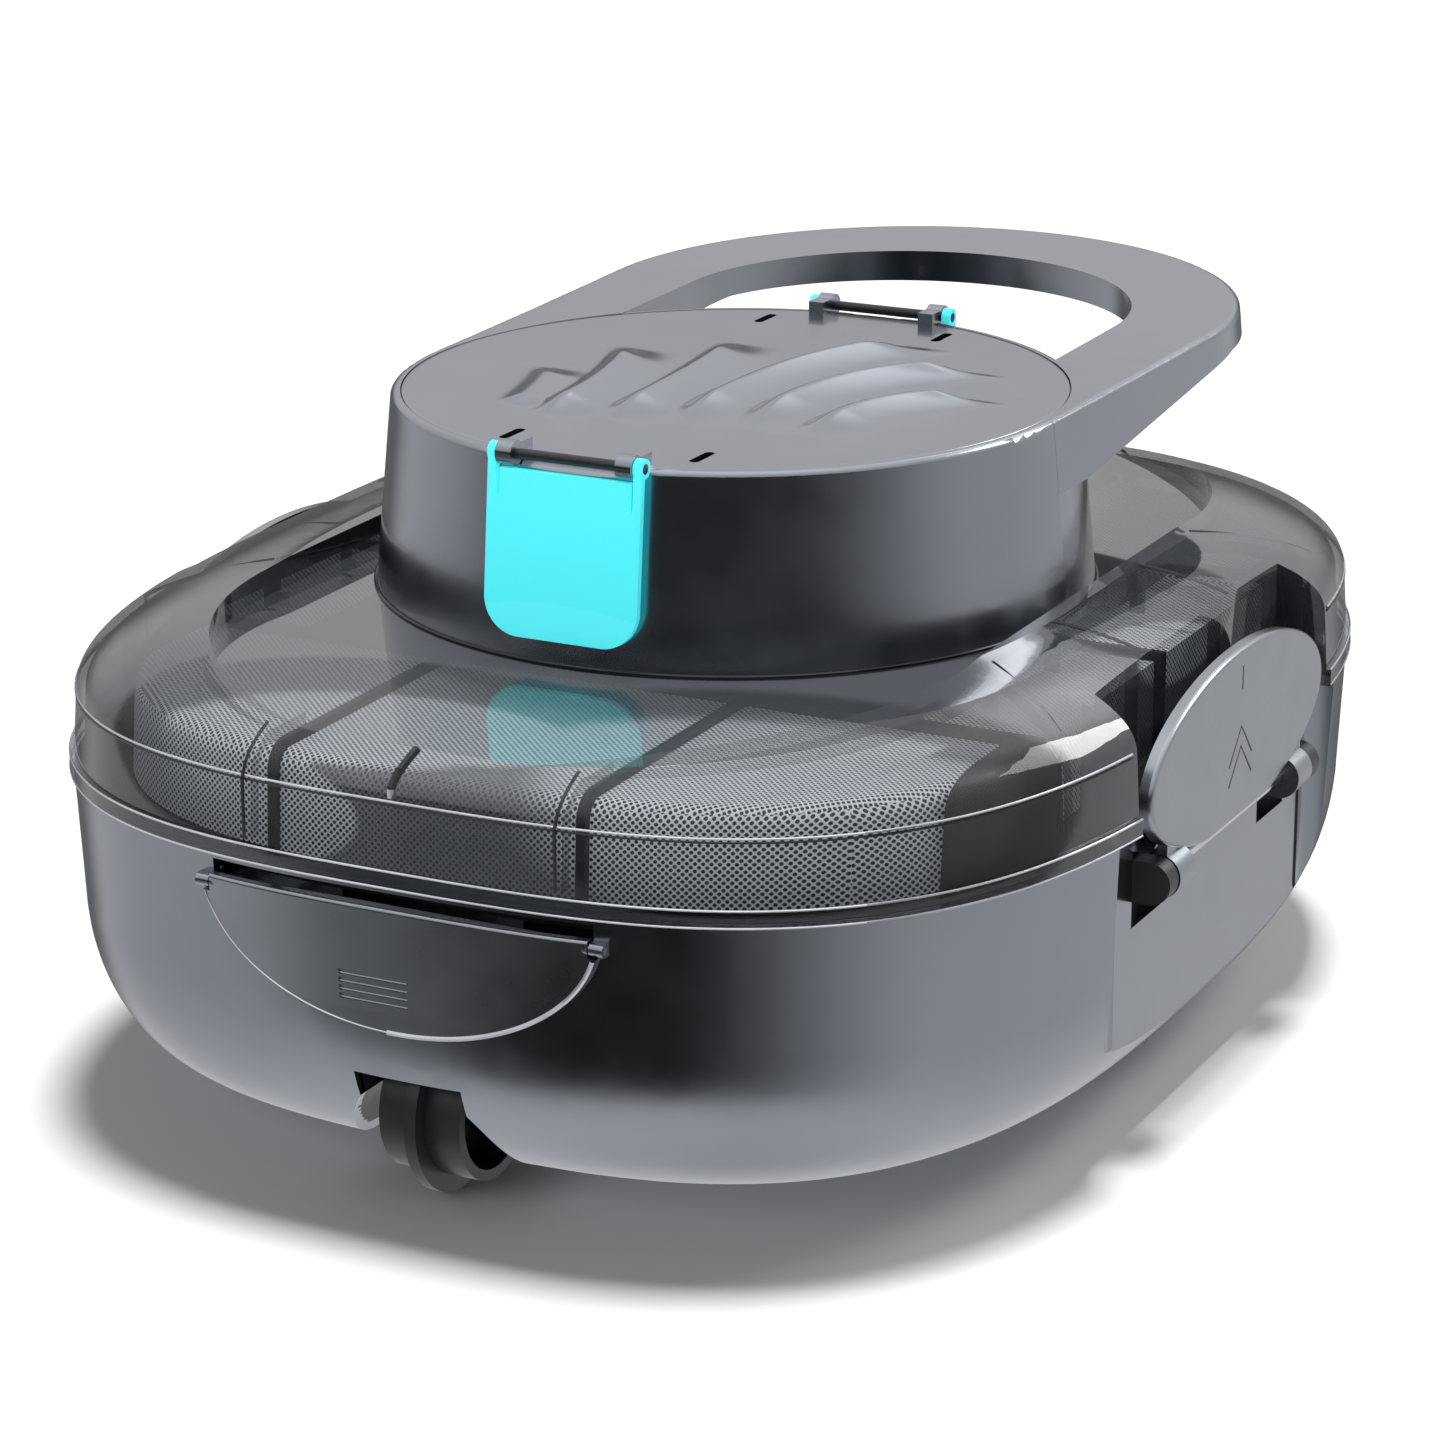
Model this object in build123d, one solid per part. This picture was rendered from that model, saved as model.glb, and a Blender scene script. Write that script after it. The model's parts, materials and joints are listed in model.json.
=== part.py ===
"""Cordless robotic pool cleaner: hull, lift-off upper unit, jets, latches and wheels.

Lengths are in millimetres. The parts are drawn about the axis of the round turret, with +Y
towards the carrying handle, +Z up and the ground at z = 0. Each part is moved by FRAME_SHIFT
along Y as it is written, so that the origin is under the middle of the whole machine.
"""
from build123d import *

import os
from math import asin, atan2, cos, degrees, pi, sin, sqrt

os.makedirs("parts", exist_ok=True)

# ---- Driving dimensions -------------------------------------------------------------------
HULL_HALF_WIDTH = 162.5
HULL_HALF_LENGTH = 200.0
CORNER_POWER = 3.0             # superellipse power of the body's plan
OUTLINE_POINTS = 48
HULL_FLOOR_Z = 12.0            # underside of the hull above the ground
SEAM_Z = 96.0                  # parting plane between the hull and the cover
HULL_DRAFT = 1.5
FOOT_INSET = 29.5              # half-axes of the elliptical curve from wall to floor
FOOT_HEIGHT = 49.0
FOOT_STEPS = 6
HULL_WALL = 3.0
SHELF_HALF_LENGTH = 80.0
OVERCUT = 2.0                  # how far a cutting tool runs past the face that it opens
REACH = 250.0                  # half size of a tool that spans the whole machine
TOUCH = 0.1                    # how near an edge lies to count as being on a surface
RUN_CLEARANCE = 0.08           # radial gap of a pin that turns in its hole
PART_GAP = 0.4                 # gap between neighbouring pieces

# Side panels, latch troughs and pockets in the hull
PANEL_X = 152.0
PANEL_HALF_LENGTH = 73.0
PANEL_GROOVE_RADIUS = 10.0
PANEL_GROOVE_Y = 76.0
LATCH_AXIS_X = 157.0
LATCH_AXIS_Z = 77.0
LATCH_ROD_RADIUS = 1.6
LATCH_ROD_HALF_LENGTH = 58.0
LATCH_TROUGH_RADIUS = 7.5
LATCH_POCKET_X = 146.5
LATCH_POCKET_Z = (63.0, 93.0)
LATCH_POCKET_Y = (38.0, 60.0)
LATCH_KNUCKLE_RADIUS = 6.5
LATCH_KNUCKLE_Y = (41.5, 53.0)
LATCH_HALF_LENGTH = 68.0
LATCH_HALF_HEIGHT = 26.0
LATCH_CENTRE_Z = 102.5
LATCH_FACE_X = (156.4, 160.4)
LATCH_EDGE_ROUND = 1.4
LATCH_BRACKET_RADIUS = 6.2
LATCH_ROD_GAP = 0.6
LATCH_ARM_HEIGHT = 12.0

# Clear cover
COVER_WALL = 2.5
LIP_PROUD = 1.0
LIP_TOP_Z = 101.0
COVER_EDGE_Z = 119.5
CREST_RISE = 20.5
DISC_Z = 131.0
DISC_HALF_WIDTH = 111.0
DISC_END_Y = 83.0
DISC_END_HALF_LENGTH = 108.0
DISC_HOLE_RADIUS = 86.0
NOTCH_INNER_X = 144.0
NOTCH_INNER_HALF_LENGTH = 71.0
NOTCH_OUTER_HALF_LENGTH = 74.5
NOTCH_OUTER_X = 159.0
CREST_SCALE = 0.65
SHOULDER_SCALES = (1.0, 0.985, 0.955, 0.9, 0.82, 0.72)
RIB_THICKNESS = 1.2
RIB_DEPTH = 4.0
RIB_BLADE_HEIGHT = 60.0
RIB_BLADE_Z = 116.0
RIB_END_PLACE = (47.3, 186.0)
RIB_END_LENGTH = 40.0
RIB_CORNER_PLACE = (134.0, 88.0)
RIB_CORNER_LENGTH = 56.0
RIB_CORNER_ANGLE = 38.0
RIB_SIDE_PLACE = (130.0, 32.0)
RIB_SIDE_LENGTH = 34.0
SEAL_HEIGHT = 5.0
SEAL_INSETS = (3.6, 6.4)
SEAL_END_Y = 96.0
SEAL_BREAK = (64.0, 185.0)     # half width, and distance forward, of the gap over the flap

# Turret, deck and handle
DECK_Z = 188.0
TURRET_TOP_RADIUS = 101.0
TURRET_FOOT_RADIUS = 106.5
TURRET_WALL = 3.0
DECK_RADIUS = 98.0
DECK_THICKNESS = 3.0
DECK_SLOT = (12.0, 3.0)
DECK_SLOT_PLACES = ((30.0, 80.0), (-30.0, 80.0), (30.0, -80.0), (-30.0, -80.0))
HANDLE_END_Y = 226.0
HANDLE_HALF_WIDTH = 104.0
HANDLE_OPENING_HALF_WIDTH = 73.0
HANDLE_OPENING_END_Y = 187.0
HANDLE_TOP_RISE = 3.0
HANDLE_THICKNESS = 11.0
HANDLE_FLAT_Y = 135.0          # behind this the underside is level
HANDLE_ROOT_Y = 20.0
HANDLE_ROOT_Z = 166.5
HANDLE_PLAN_Z = (150.0, 200.0) # heights of the two plans that its drafted side runs between
FLARE_ROOM = 20.0              # extra half width of the slab that the handle is cut from
RIM_ROUND = 2.0
LEDGE_THICKNESS = 3.0
LEDGE_WIDTH = 6.0
SIDE_BORE_X = (-120.0, -90.0)
FLUTE_RADIUS = 3.2
FLUTE_RISE = 1.6               # height of the flute tool's centre line above the deck
FLUTES = (
    ((-38, -55), (-41, -19), (-53, 25)),
    ((-18, -52), (-20, -6), (-28, 44)),
    ((2, -50), (1, 4), (23, 62)),
    ((21, -46), (22, -3), (53, 41)),
    ((40, -44), (43, -16), (65, 12)),
)

# Jet flaps and nozzles
JET_AXIS_Y = 101.8
JET_AXIS_Z = 189.0
JET_ROD_RADIUS = 1.5
JET_LUG_RADIUS = 3.6
JET_LUG_X = 18.7
JET_LUG_WIDTH = 5.0
JET_LUG_LENGTH = 9.0
JET_GROOVE_GAP = 0.5
JET_GROOVE_END_GAP = 1.5
JET_FLAP_HALF_WIDTH = 24.0
JET_FLAP_FOOT_Z = 138.0
JET_FLAP_THICKNESS = 2.0
JET_FLAP_CORNER = 11.0
JET_FLAP_SETBACK = 0.2
JET_Z = 161.0
DUCT_RADIUS = 18.0
DUCT_WALL = 2.0
DUCT_LENGTH = 40.0
JET_WINDOW_HALF_WIDTH = 18.0
JET_WINDOW_Z = (143.0, 179.0)
JET_WINDOW_DEPTH = 12.0
NOZZLE_STAND = 4.0             # gap between the turret's wall and the nozzle's flange
NOZZLE_FLANGE_HALF_WIDTH = 24.0
NOZZLE_FLANGE_THICKNESS = 2.5
NOZZLE_FLANGE_Z = (140.0, 181.0)
JET_ARM_X = 21.4
JET_PANEL_TOP = 4.0
JET_SLOT_DEPTH = 12.0
JET_SLOT_WIDTH = 1.2
JET_KNUCKLE_RADIUS = 2.8

# Half-moon drain flap at the front of the hull
DRAIN_FLAP_PROUD = 3.0
DRAIN_FLAP_HALF_WIDTH = 61.0
DRAIN_FLAP_DEPTH = 38.0
DRAIN_FLAP_TOP_Z = 91.0
DRAIN_FLAP_ROUND = 1.0
DRAIN_AXIS_Y = -198.0
DRAIN_AXIS_Z = 88.5
DRAIN_ROLL_RADIUS = 2.0
DRAIN_PIN_RADIUS = 0.9
DRAIN_EAR_X = (58.0, 62.0)
DRAIN_EAR_RADIUS = 1.9
DRAIN_MOON_Z = 93.0
DRAIN_GROOVE_COUNT = 4
DRAIN_GROOVE_PITCH = 2.3
DRAIN_GROOVE_Z = 71.0
DRAIN_GROOVE_HALF_LENGTH = 10.5
DRAIN_GROOVE_SHIFT = -6.0
DRAIN_GROOVE_RADIUS = 0.7
DRAIN_SLOT_Z = (85.6, 94.6)
DRAIN_WINDOW_COUNT = 5
DRAIN_WINDOW_PITCH = 16.0
DRAIN_WINDOW_WIDTH = 10.0
DRAIN_WINDOW_Z = (64.0, 82.0)

# Wheels
WELL_WALL = 2.0
WELL_SECTION_Z = (15.0, 26.0, 40.0, 61.0)
WHEEL_GAP = 4.0                # air round a centre wheel in its well
WHEEL_END_GAP = 0.6
SIDE_WHEEL_GAP = 3.0
CENTRE_WHEEL_Y = 170.0
CENTRE_WHEEL_RADIUS = 25.0
CENTRE_DRUM_RADIUS = 20.0
CENTRE_DRUM_WIDTH = 25.0
ARCH_HALF_WIDTH = 27.6
ARCH_TOP_Z = 39.0
ARCH_SHOULDER = (0.72, 27.0)   # share of the half width, and height, where the bell turns
ARCH_LEAN = 0.3                # sideways run of the bell's foot for each unit of rise
DRUM_WALL = 3.0
HUB_WALL = 4.0
SIDE_WHEEL_X = 112.0
SIDE_WHEEL_RADIUS = 21.0
SIDE_WHEEL_WIDTH = 16.0
SIDE_TYRE_ROUND = 2.5
SIDE_RIM_WIDTH = 6.0
SIDE_RECESS_DEPTH = 2.5
AXLE_RADIUS = 2.5
FLANGE_WIDTH = 3.5

# Suction inlet
INLET_HALF_X = 62.0
INLET_HALF_Y = 16.0
INLET_TOP_Z = 58.0
INLET_WALL = 2.5
INLET_LIP_Z = 7.0
INLET_LIP_REACH = 4.0
INLET_LIP_ROUND = 3.0
INLET_BAR_HALF_WIDTH = 1.5
INLET_BAR_HEIGHT = 8.0
INLET_EAR_HALF_WIDTH = 2.5
INLET_EAR_BITE = 0.5
INLET_FLAP_GAP = 1.0
INLET_FLAP_THICKNESS = 2.0
INLET_KNUCKLE_RADIUS = 2.2
INLET_PIN_RADIUS = 1.2
INLET_PIN_Y = 4.2
INLET_PIN_Z = 60.8

# Drive pod, side controls and filter
POD_HALF_X = 78.0
POD_HALF_Y = 49.0
POD_WALL = 2.5
POD_Z = (134.0, 179.0)
POD_CORNER = 6.0
POD_LID_THICKNESS = 2.5
SUPPORT_RADIUS = 96.0
SUPPORT_SLOT_X = (12.0, 70.0)
SUPPORT_SLOT_Y = (54.0, 76.0)
MOTOR_RADIUS = 14.5
MOTOR_BOSS_RADIUS = 6.0
MOTOR_BOSS_LENGTH = 1.5
MOTOR_END_Y = 4.0
SHAFT_RADIUS = 2.0
SHAFT_BORE_END_Y = 6.0
SHAFT_END_Y = 8.0
SHAFT_TIP = 2.0                # length of shaft beyond the propeller's hub
SEAL_RADIUS = 6.0
PROP_Y = 76.0
PROP_RADIUS = 16.8
PROP_HUB_RADIUS = 5.0
PROP_LENGTH = 12.0
PROP_PITCH = 55.0
PROP_BLADES = 3
PROP_BLADE_THICKNESS = 1.4
CELL_RADIUS = 9.2
CELL_LENGTH = 65.0
CELL_PLACES_X = (25.5, 45.0, 64.5)
CELL_PLACES_Z = (146.0, 165.0)
BOARD_Z = 176.0
BOARD_THICKNESS = 1.2
BOARD_HALF_SIZE = (58.0, 30.0)
SIDE_CONTROL_Z = 150.0
CONTROL_TURN = 11.0            # each side control stands this many degrees round from -X
BUTTON_RADIUS = 9.0
BUTTON_DEPTH = 9.0
BUTTON_TRAVEL = 2.5
BUTTON_PROUD = 3.0
BUTTON_ROUND = 1.2
BUTTON_GAP = 0.3
CUP_STAND = 2.6
CUP_WALL = 2.5
CUP_FLOOR = 2.0
SOCKET_RADIUS = 9.5
SOCKET_LENGTH = 15.0
SOCKET_BORE_RADIUS = 7.5
SOCKET_BORE_DEPTH = 12.0
CONTACT_RADIUS = 1.0
CONTACT_LENGTH = 5.0
CONTACT_SHIFT = 3.0
PLUG_STAND = 2.2               # gap between the plug's cap and the turret's wall
PLUG_THICKNESS = 2.0
PLUG_DEPTH = 3.0
PLUG_FIT = 0.6
PLUG_HINGE_STAND = 3.2
PLUG_HINGE_DROP = 12.5
PLUG_HINGE_HALF = 5.0
PLUG_KNUCKLE_RADIUS = 1.4
PLUG_EAR_WIDTH = 3.0
PLUG_PIN_RADIUS = 0.7
PLUG_EAR_GAP = 0.05
FILTER_HALF_X = 151.0
FILTER_HALF_Y = 187.0
FILTER_FOOT_Z = 88.0
FILTER_TOP_Z = 124.0
FILTER_SIDE_HALF_Y = 91.0
FILTER_SIDE_X = 136.5
FILTER_WALL = 2.5
FILTER_DRAFT = 2.0
FILTER_SILL = 5.0
FILTER_HOLE_RADIUS = 82.0
FILTER_COLLAR_WALL = 3.0
FILTER_EDGE_ROUND = 8.0
FILTER_BAYS_X = ((-128.0, -48.5), (-46.0, 46.0), (48.5, 128.0))
FILTER_BAY_Y = 90.0
FILTER_SIDE_BAY_X = 96.0
FILTER_SIDE_BAY_Y = (1.5, 86.0)
MESH_THICKNESS = 1.0
MESH_END_Y = 82.0
MESH_SIDE_X = 88.0
MESH_SIDE_HALF_Y = 81.0
SCREW_RADIUS = 1.5
SCREW_LENGTH = 5.0
SCREW_HEAD_RADIUS = 3.2
SCREW_HEAD_HEIGHT = 2.0
SUPPORT_SCREW_X = 60.0
SUPPORT_SCREW_Y = 40.0

FRONT_Y = -(HULL_HALF_LENGTH + DRAIN_FLAP_PROUD)
FRAME_SHIFT = -(HANDLE_END_Y + FRONT_Y) / 2


# ---- Small helpers ------------------------------------------------------------------------
def write(node, *solids):
    """Write one node's solids, moved so that the origin is under the machine's middle."""
    placed = [Pos(0, FRAME_SHIFT, 0) * solid for solid in solids]
    shape = placed[0] if len(placed) == 1 else Compound(children=placed)
    export_step(shape, f"parts/{node}.step")


def block(x_range, y_range, z_range):
    """Box between two opposite corners, given as a range on each axis."""
    size = [high - low for low, high in (x_range, y_range, z_range)]
    centre = [(high + low) / 2 for low, high in (x_range, y_range, z_range)]
    return Pos(*centre) * Box(*size)


def bar_x(radius, x_range, y, z):
    """Cylinder along X."""
    low, high = x_range
    return Pos((low + high) / 2, y, z) * Rot(0, 90, 0) * Cylinder(radius, high - low)


def bar_y(radius, y_range, x, z):
    """Cylinder along Y."""
    low, high = y_range
    return Pos(x, (low + high) / 2, z) * Rot(90, 0, 0) * Cylinder(radius, high - low)


def bar_z(radius, z_range, x, y):
    """Cylinder along Z."""
    low, high = z_range
    return Pos(x, y, (low + high) / 2) * Cylinder(radius, high - low)


def flip_x(shape):
    """The same shape on the other side of the machine."""
    return mirror(shape, about=Plane.YZ)


def flip_y(shape):
    """The same shape at the other end of the machine."""
    return mirror(shape, about=Plane.XZ)


def outline(half_x, half_y, z):
    """Flat superellipse face: the plan of the hull and the cover."""
    points = []
    for i in range(OUTLINE_POINTS):
        angle = 2 * pi * i / OUTLINE_POINTS
        spread = abs(cos(angle) / half_x) ** CORNER_POWER + abs(sin(angle) / half_y) ** CORNER_POWER
        reach = spread ** (-1 / CORNER_POWER)
        points.append((reach * cos(angle), reach * sin(angle), z))
    return make_face(Spline(*points, periodic=True))


# ---- Hull ---------------------------------------------------------------------------------
def side_panel_tool(inset):
    """Tool that sinks the right side panel and the two upright grooves at its ends."""
    tall = (HULL_FLOOR_Z - OVERCUT, SEAM_Z + 2 * OVERCUT)
    deep = (PANEL_X - inset, REACH)
    tool = block(deep, (-PANEL_HALF_LENGTH - inset, PANEL_HALF_LENGTH + inset), tall)
    for y in (-PANEL_GROOVE_Y, PANEL_GROOVE_Y):
        tool += bar_z(PANEL_GROOVE_RADIUS + inset, tall, PANEL_X + PANEL_GROOVE_RADIUS, y)
    trough = (-LATCH_POCKET_Y[0] - inset, LATCH_POCKET_Y[0] + inset)
    tool += bar_y(LATCH_TROUGH_RADIUS + inset, trough, LATCH_AXIS_X, LATCH_AXIS_Z)
    for end in (-1, 1):
        low, high = sorted(end * y for y in LATCH_POCKET_Y)
        tool += block(
            (LATCH_POCKET_X - inset, HULL_HALF_WIDTH),
            (low - inset, high + inset),
            (LATCH_POCKET_Z[0] - inset, LATCH_POCKET_Z[1] + inset),
        )
    return tool


def foot_shrink(z, inset):
    """How far the plan has drawn in at a height, for a skin set inside the outer one."""
    rise = FOOT_HEIGHT - inset
    share = min(1.0, (z - HULL_FLOOR_Z - inset) / rise)
    return inset + HULL_DRAFT + (FOOT_INSET - inset) * (1 - sqrt(1 - (1 - share) ** 2))


def hull_body(inset):
    """Plain solid inside the hull's outer skin, moved in by an inset (out when negative)."""
    floor = HULL_FLOOR_Z + inset
    top = SEAM_Z + (OVERCUT if inset > 0 else 0)
    sections = []
    for i in range(FOOT_STEPS + 1):
        z = floor + (FOOT_HEIGHT - inset) * (1 - cos(pi / 2 * i / FOOT_STEPS))
        shrink = foot_shrink(z, inset)
        sections.append(outline(HULL_HALF_WIDTH - shrink, HULL_HALF_LENGTH - shrink, z))
    top_face = outline(HULL_HALF_WIDTH - inset, HULL_HALF_LENGTH - inset, top)
    return loft(sections) + loft([sections[-1], top_face], ruled=True)


def hull_volume(inset):
    """Solid of the hull's outer shape with its side panels, or of the space inside."""
    panel = side_panel_tool(inset)
    return hull_body(inset) - panel - flip_x(panel)


def end_arch_face(grow):
    """Bell-shaped section of the wheel arch, in the XZ plane."""
    low = HULL_FLOOR_Z - 2 * OVERCUT
    half = ARCH_HALF_WIDTH + grow
    top = ARCH_TOP_Z + grow
    turn_x = half * ARCH_SHOULDER[0]
    turn_z = ARCH_SHOULDER[1] + grow
    left = Spline((-half, low), (-turn_x, turn_z), (0, top), tangents=[(ARCH_LEAN, 1), (1, 0)])
    right = Spline((0, top), (turn_x, turn_z), (half, low), tangents=[(1, 0), (ARCH_LEAN, -1)])
    return make_face([left, right, Line((half, low), (-half, low))])


def wheel_well(grow):
    """Space for the front wheel: the arch through the wall and the box over the wheel."""
    inner_y = -CENTRE_WHEEL_Y + CENTRE_WHEEL_RADIUS + WHEEL_GAP + grow
    outer_y = -CENTRE_WHEEL_Y - CENTRE_WHEEL_RADIUS - WHEEL_END_GAP - grow
    arch = extrude(Plane.XZ * end_arch_face(grow), -(HULL_HALF_LENGTH + OVERCUT + inner_y))
    arch = Pos(0, -HULL_HALF_LENGTH - OVERCUT, 0) * arch
    half = CENTRE_DRUM_WIDTH / 2 + WHEEL_GAP + grow
    roof = 2 * CENTRE_WHEEL_RADIUS + WHEEL_GAP + grow
    return arch + block((-half, half), (outer_y, inner_y), (HULL_FLOOR_Z - 2 * OVERCUT, roof))


def side_wheel_well(grow):
    """Space over the right side wheel."""
    half_x = SIDE_WHEEL_WIDTH / 2 + SIDE_WHEEL_GAP + grow
    half_y = SIDE_WHEEL_RADIUS + SIDE_WHEEL_GAP + grow
    roof = 2 * SIDE_WHEEL_RADIUS + SIDE_WHEEL_GAP + grow
    return block(
        (SIDE_WHEEL_X - half_x, SIDE_WHEEL_X + half_x),
        (-half_y, half_y),
        (HULL_FLOOR_Z - 2 * OVERCUT, roof),
    )


def drain_opening_tools():
    """Slot for the drain flap's rolled edge, and the drain windows behind the flap."""
    tools = [
        block(
            (-DRAIN_EAR_X[0], DRAIN_EAR_X[0]),
            (FRONT_Y - OVERCUT, -HULL_HALF_LENGTH + 3 * HULL_WALL),
            DRAIN_SLOT_Z,
        )
    ]
    for i in range(DRAIN_WINDOW_COUNT):
        x = (i - (DRAIN_WINDOW_COUNT - 1) / 2) * DRAIN_WINDOW_PITCH
        tools.append(
            block(
                (x - DRAIN_WINDOW_WIDTH / 2, x + DRAIN_WINDOW_WIDTH / 2),
                (FRONT_Y - OVERCUT, -HULL_HALF_LENGTH + 3 * HULL_WALL),
                DRAIN_WINDOW_Z,
            )
        )
    return tools


def hull_shell():
    """Open-topped hull with its wheel arches, inlet, drain slot, shelves and panels."""
    outer = hull_volume(0)
    shell = outer - hull_volume(HULL_WALL)
    shelf_x = (NOTCH_INNER_X - COVER_WALL, HULL_HALF_WIDTH)
    shelf = block(shelf_x, (-SHELF_HALF_LENGTH, SHELF_HALF_LENGTH), (SEAM_Z - HULL_WALL, SEAM_Z))
    shell += (shelf & outer) + (flip_x(shelf) & outer)
    for ear_x in (DRAIN_EAR_X, (-DRAIN_EAR_X[1], -DRAIN_EAR_X[0])):
        shell += bar_x(DRAIN_EAR_RADIUS, ear_x, DRAIN_AXIS_Y, DRAIN_AXIS_Z)
        back = (DRAIN_AXIS_Y, DRAIN_AXIS_Y + 2 * HULL_WALL)
        shell += block(ear_x, back, (DRAIN_AXIS_Z - DRAIN_EAR_RADIUS, DRAIN_AXIS_Z + DRAIN_EAR_RADIUS))
    for tool in drain_opening_tools():
        shell -= tool
    ear_hole = (-DRAIN_EAR_X[1] - PART_GAP, DRAIN_EAR_X[1] + PART_GAP)
    shell -= bar_x(DRAIN_PIN_RADIUS, ear_hole, DRAIN_AXIS_Y, DRAIN_AXIS_Z)
    well = wheel_well(0)
    side_well = side_wheel_well(WELL_WALL)
    shell -= well
    shell -= flip_y(well)
    shell -= side_well
    shell -= flip_x(side_well)
    outer_x = INLET_HALF_X + INLET_WALL
    outer_y = INLET_HALF_Y + INLET_WALL
    floor_z = (HULL_FLOOR_Z - OVERCUT, HULL_FLOOR_Z + HULL_WALL + OVERCUT)
    shell -= block((-outer_x, outer_x), (-outer_y, outer_y), floor_z)
    return shell


def well_housings():
    """Four moulded boxes that keep the wheels out of the debris chamber."""
    points = [(0, SEAM_Z), (0, HULL_FLOOR_Z + HULL_WALL)]
    for z in WELL_SECTION_Z:
        points.append((foot_shrink(z, HULL_WALL / 2) - HULL_HALF_LENGTH, z))
    points.append((points[-1][0], SEAM_Z))
    profile = Plane.YZ * make_face(Polyline(*points, close=True))
    room = extrude(profile, 2 * ARCH_HALF_WIDTH, both=True)
    front = (wheel_well(WELL_WALL) & room) - wheel_well(0)
    side_box = side_wheel_well(WELL_WALL) - side_wheel_well(0)
    side_box -= block((0, REACH), (-REACH, REACH), (0, HULL_FLOOR_Z))
    return {
        "wheel_well_front": front,
        "wheel_well_rear": flip_y(front),
        "wheel_well_right": side_box,
        "wheel_well_left": flip_x(side_box),
    }


def centre_wheel():
    """Front roller: a hollow drum with a guide flange round its middle."""
    wheel = Cylinder(CENTRE_DRUM_RADIUS, CENTRE_DRUM_WIDTH)
    wheel += Cylinder(CENTRE_WHEEL_RADIUS, FLANGE_WIDTH)
    wheel -= Cylinder(CENTRE_DRUM_RADIUS - DRUM_WALL, CENTRE_DRUM_WIDTH + OVERCUT)
    wheel += Cylinder(CENTRE_DRUM_RADIUS - DRUM_WALL / 2, FLANGE_WIDTH)
    wheel += Cylinder(AXLE_RADIUS + HUB_WALL, CENTRE_DRUM_WIDTH)
    wheel -= Cylinder(AXLE_RADIUS + RUN_CLEARANCE, CENTRE_DRUM_WIDTH + OVERCUT)
    return Pos(0, -CENTRE_WHEEL_Y, CENTRE_WHEEL_RADIUS) * Rot(0, 90, 0) * wheel


def side_wheel():
    """Right side wheel: a tyred disc with a hub."""
    wheel = fillet(Cylinder(SIDE_WHEEL_RADIUS, SIDE_WHEEL_WIDTH).edges(), SIDE_TYRE_ROUND)
    recess = Cylinder(SIDE_WHEEL_RADIUS - SIDE_RIM_WIDTH, 2 * SIDE_RECESS_DEPTH)
    recess -= Cylinder(AXLE_RADIUS + HUB_WALL, 2 * SIDE_RECESS_DEPTH)
    for end in (-1, 1):
        wheel -= Pos(0, 0, end * SIDE_WHEEL_WIDTH / 2) * recess
    wheel -= Cylinder(AXLE_RADIUS + RUN_CLEARANCE, SIDE_WHEEL_WIDTH + OVERCUT)
    return Pos(SIDE_WHEEL_X, 0, SIDE_WHEEL_RADIUS) * Rot(0, 90, 0) * wheel


def wheel_axles():
    """Pins of the centre wheels and of the side wheels, each pressed into its well."""
    centre_half = CENTRE_DRUM_WIDTH / 2 + WHEEL_GAP
    side_half = SIDE_WHEEL_WIDTH / 2 + SIDE_WHEEL_GAP
    front = bar_x(AXLE_RADIUS, (-centre_half, centre_half), -CENTRE_WHEEL_Y, CENTRE_WHEEL_RADIUS)
    side_x = (SIDE_WHEEL_X - side_half, SIDE_WHEEL_X + side_half)
    side = bar_x(AXLE_RADIUS, side_x, 0, SIDE_WHEEL_RADIUS)
    return [front, flip_y(front)], [side, flip_x(side)]


def inlet_parts():
    """Suction throat with its scraper lip, two non-return flaps and their pins."""
    half_x, half_y = INLET_HALF_X, INLET_HALF_Y
    outer_x, outer_y = half_x + INLET_WALL, half_y + INLET_WALL
    throat = block((-outer_x, outer_x), (-outer_y, outer_y), (HULL_FLOOR_Z, INLET_TOP_Z))
    throat -= block((-half_x, half_x), (-half_y, half_y), (0, REACH))
    bar_y_range = (-INLET_BAR_HALF_WIDTH, INLET_BAR_HALF_WIDTH)
    throat += block((-half_x, half_x), bar_y_range, (INLET_TOP_Z - INLET_BAR_HEIGHT, INLET_TOP_Z))
    ear_x = (half_x - INLET_EAR_BITE, outer_x)
    ear_z = (INLET_TOP_Z, INLET_PIN_Z + INLET_EAR_HALF_WIDTH)
    pins = []
    for pin_y in (-INLET_PIN_Y, INLET_PIN_Y):
        ear = block(ear_x, (pin_y - INLET_EAR_HALF_WIDTH, pin_y + INLET_EAR_HALF_WIDTH), ear_z)
        throat += ear + flip_x(ear)
        pins.append(bar_x(INLET_PIN_RADIUS, (-outer_x, outer_x), pin_y, INLET_PIN_Z))
    for pin in pins:
        throat -= pin
    lip_x, lip_y = outer_x + INLET_LIP_REACH, outer_y + INLET_LIP_REACH
    lip = block((-lip_x, lip_x), (-lip_y, lip_y), (INLET_LIP_Z, HULL_FLOOR_Z))
    lip -= block((-half_x, half_x), (-half_y, half_y), (0, REACH))
    lip = fillet(lip.edges().filter_by(Axis.Z), INLET_LIP_ROUND)
    flap_x = (-half_x + INLET_FLAP_GAP, half_x - INLET_FLAP_GAP)
    flap_z = INLET_TOP_Z + PART_GAP
    flap = block(flap_x, (INLET_PIN_Y, outer_y), (flap_z, flap_z + INLET_FLAP_THICKNESS))
    flap += bar_x(INLET_KNUCKLE_RADIUS, flap_x, INLET_PIN_Y, INLET_PIN_Z)
    flap -= bar_x(INLET_PIN_RADIUS + RUN_CLEARANCE, (-outer_x, outer_x), INLET_PIN_Y, INLET_PIN_Z)
    return throat, lip, flap, pins


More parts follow.
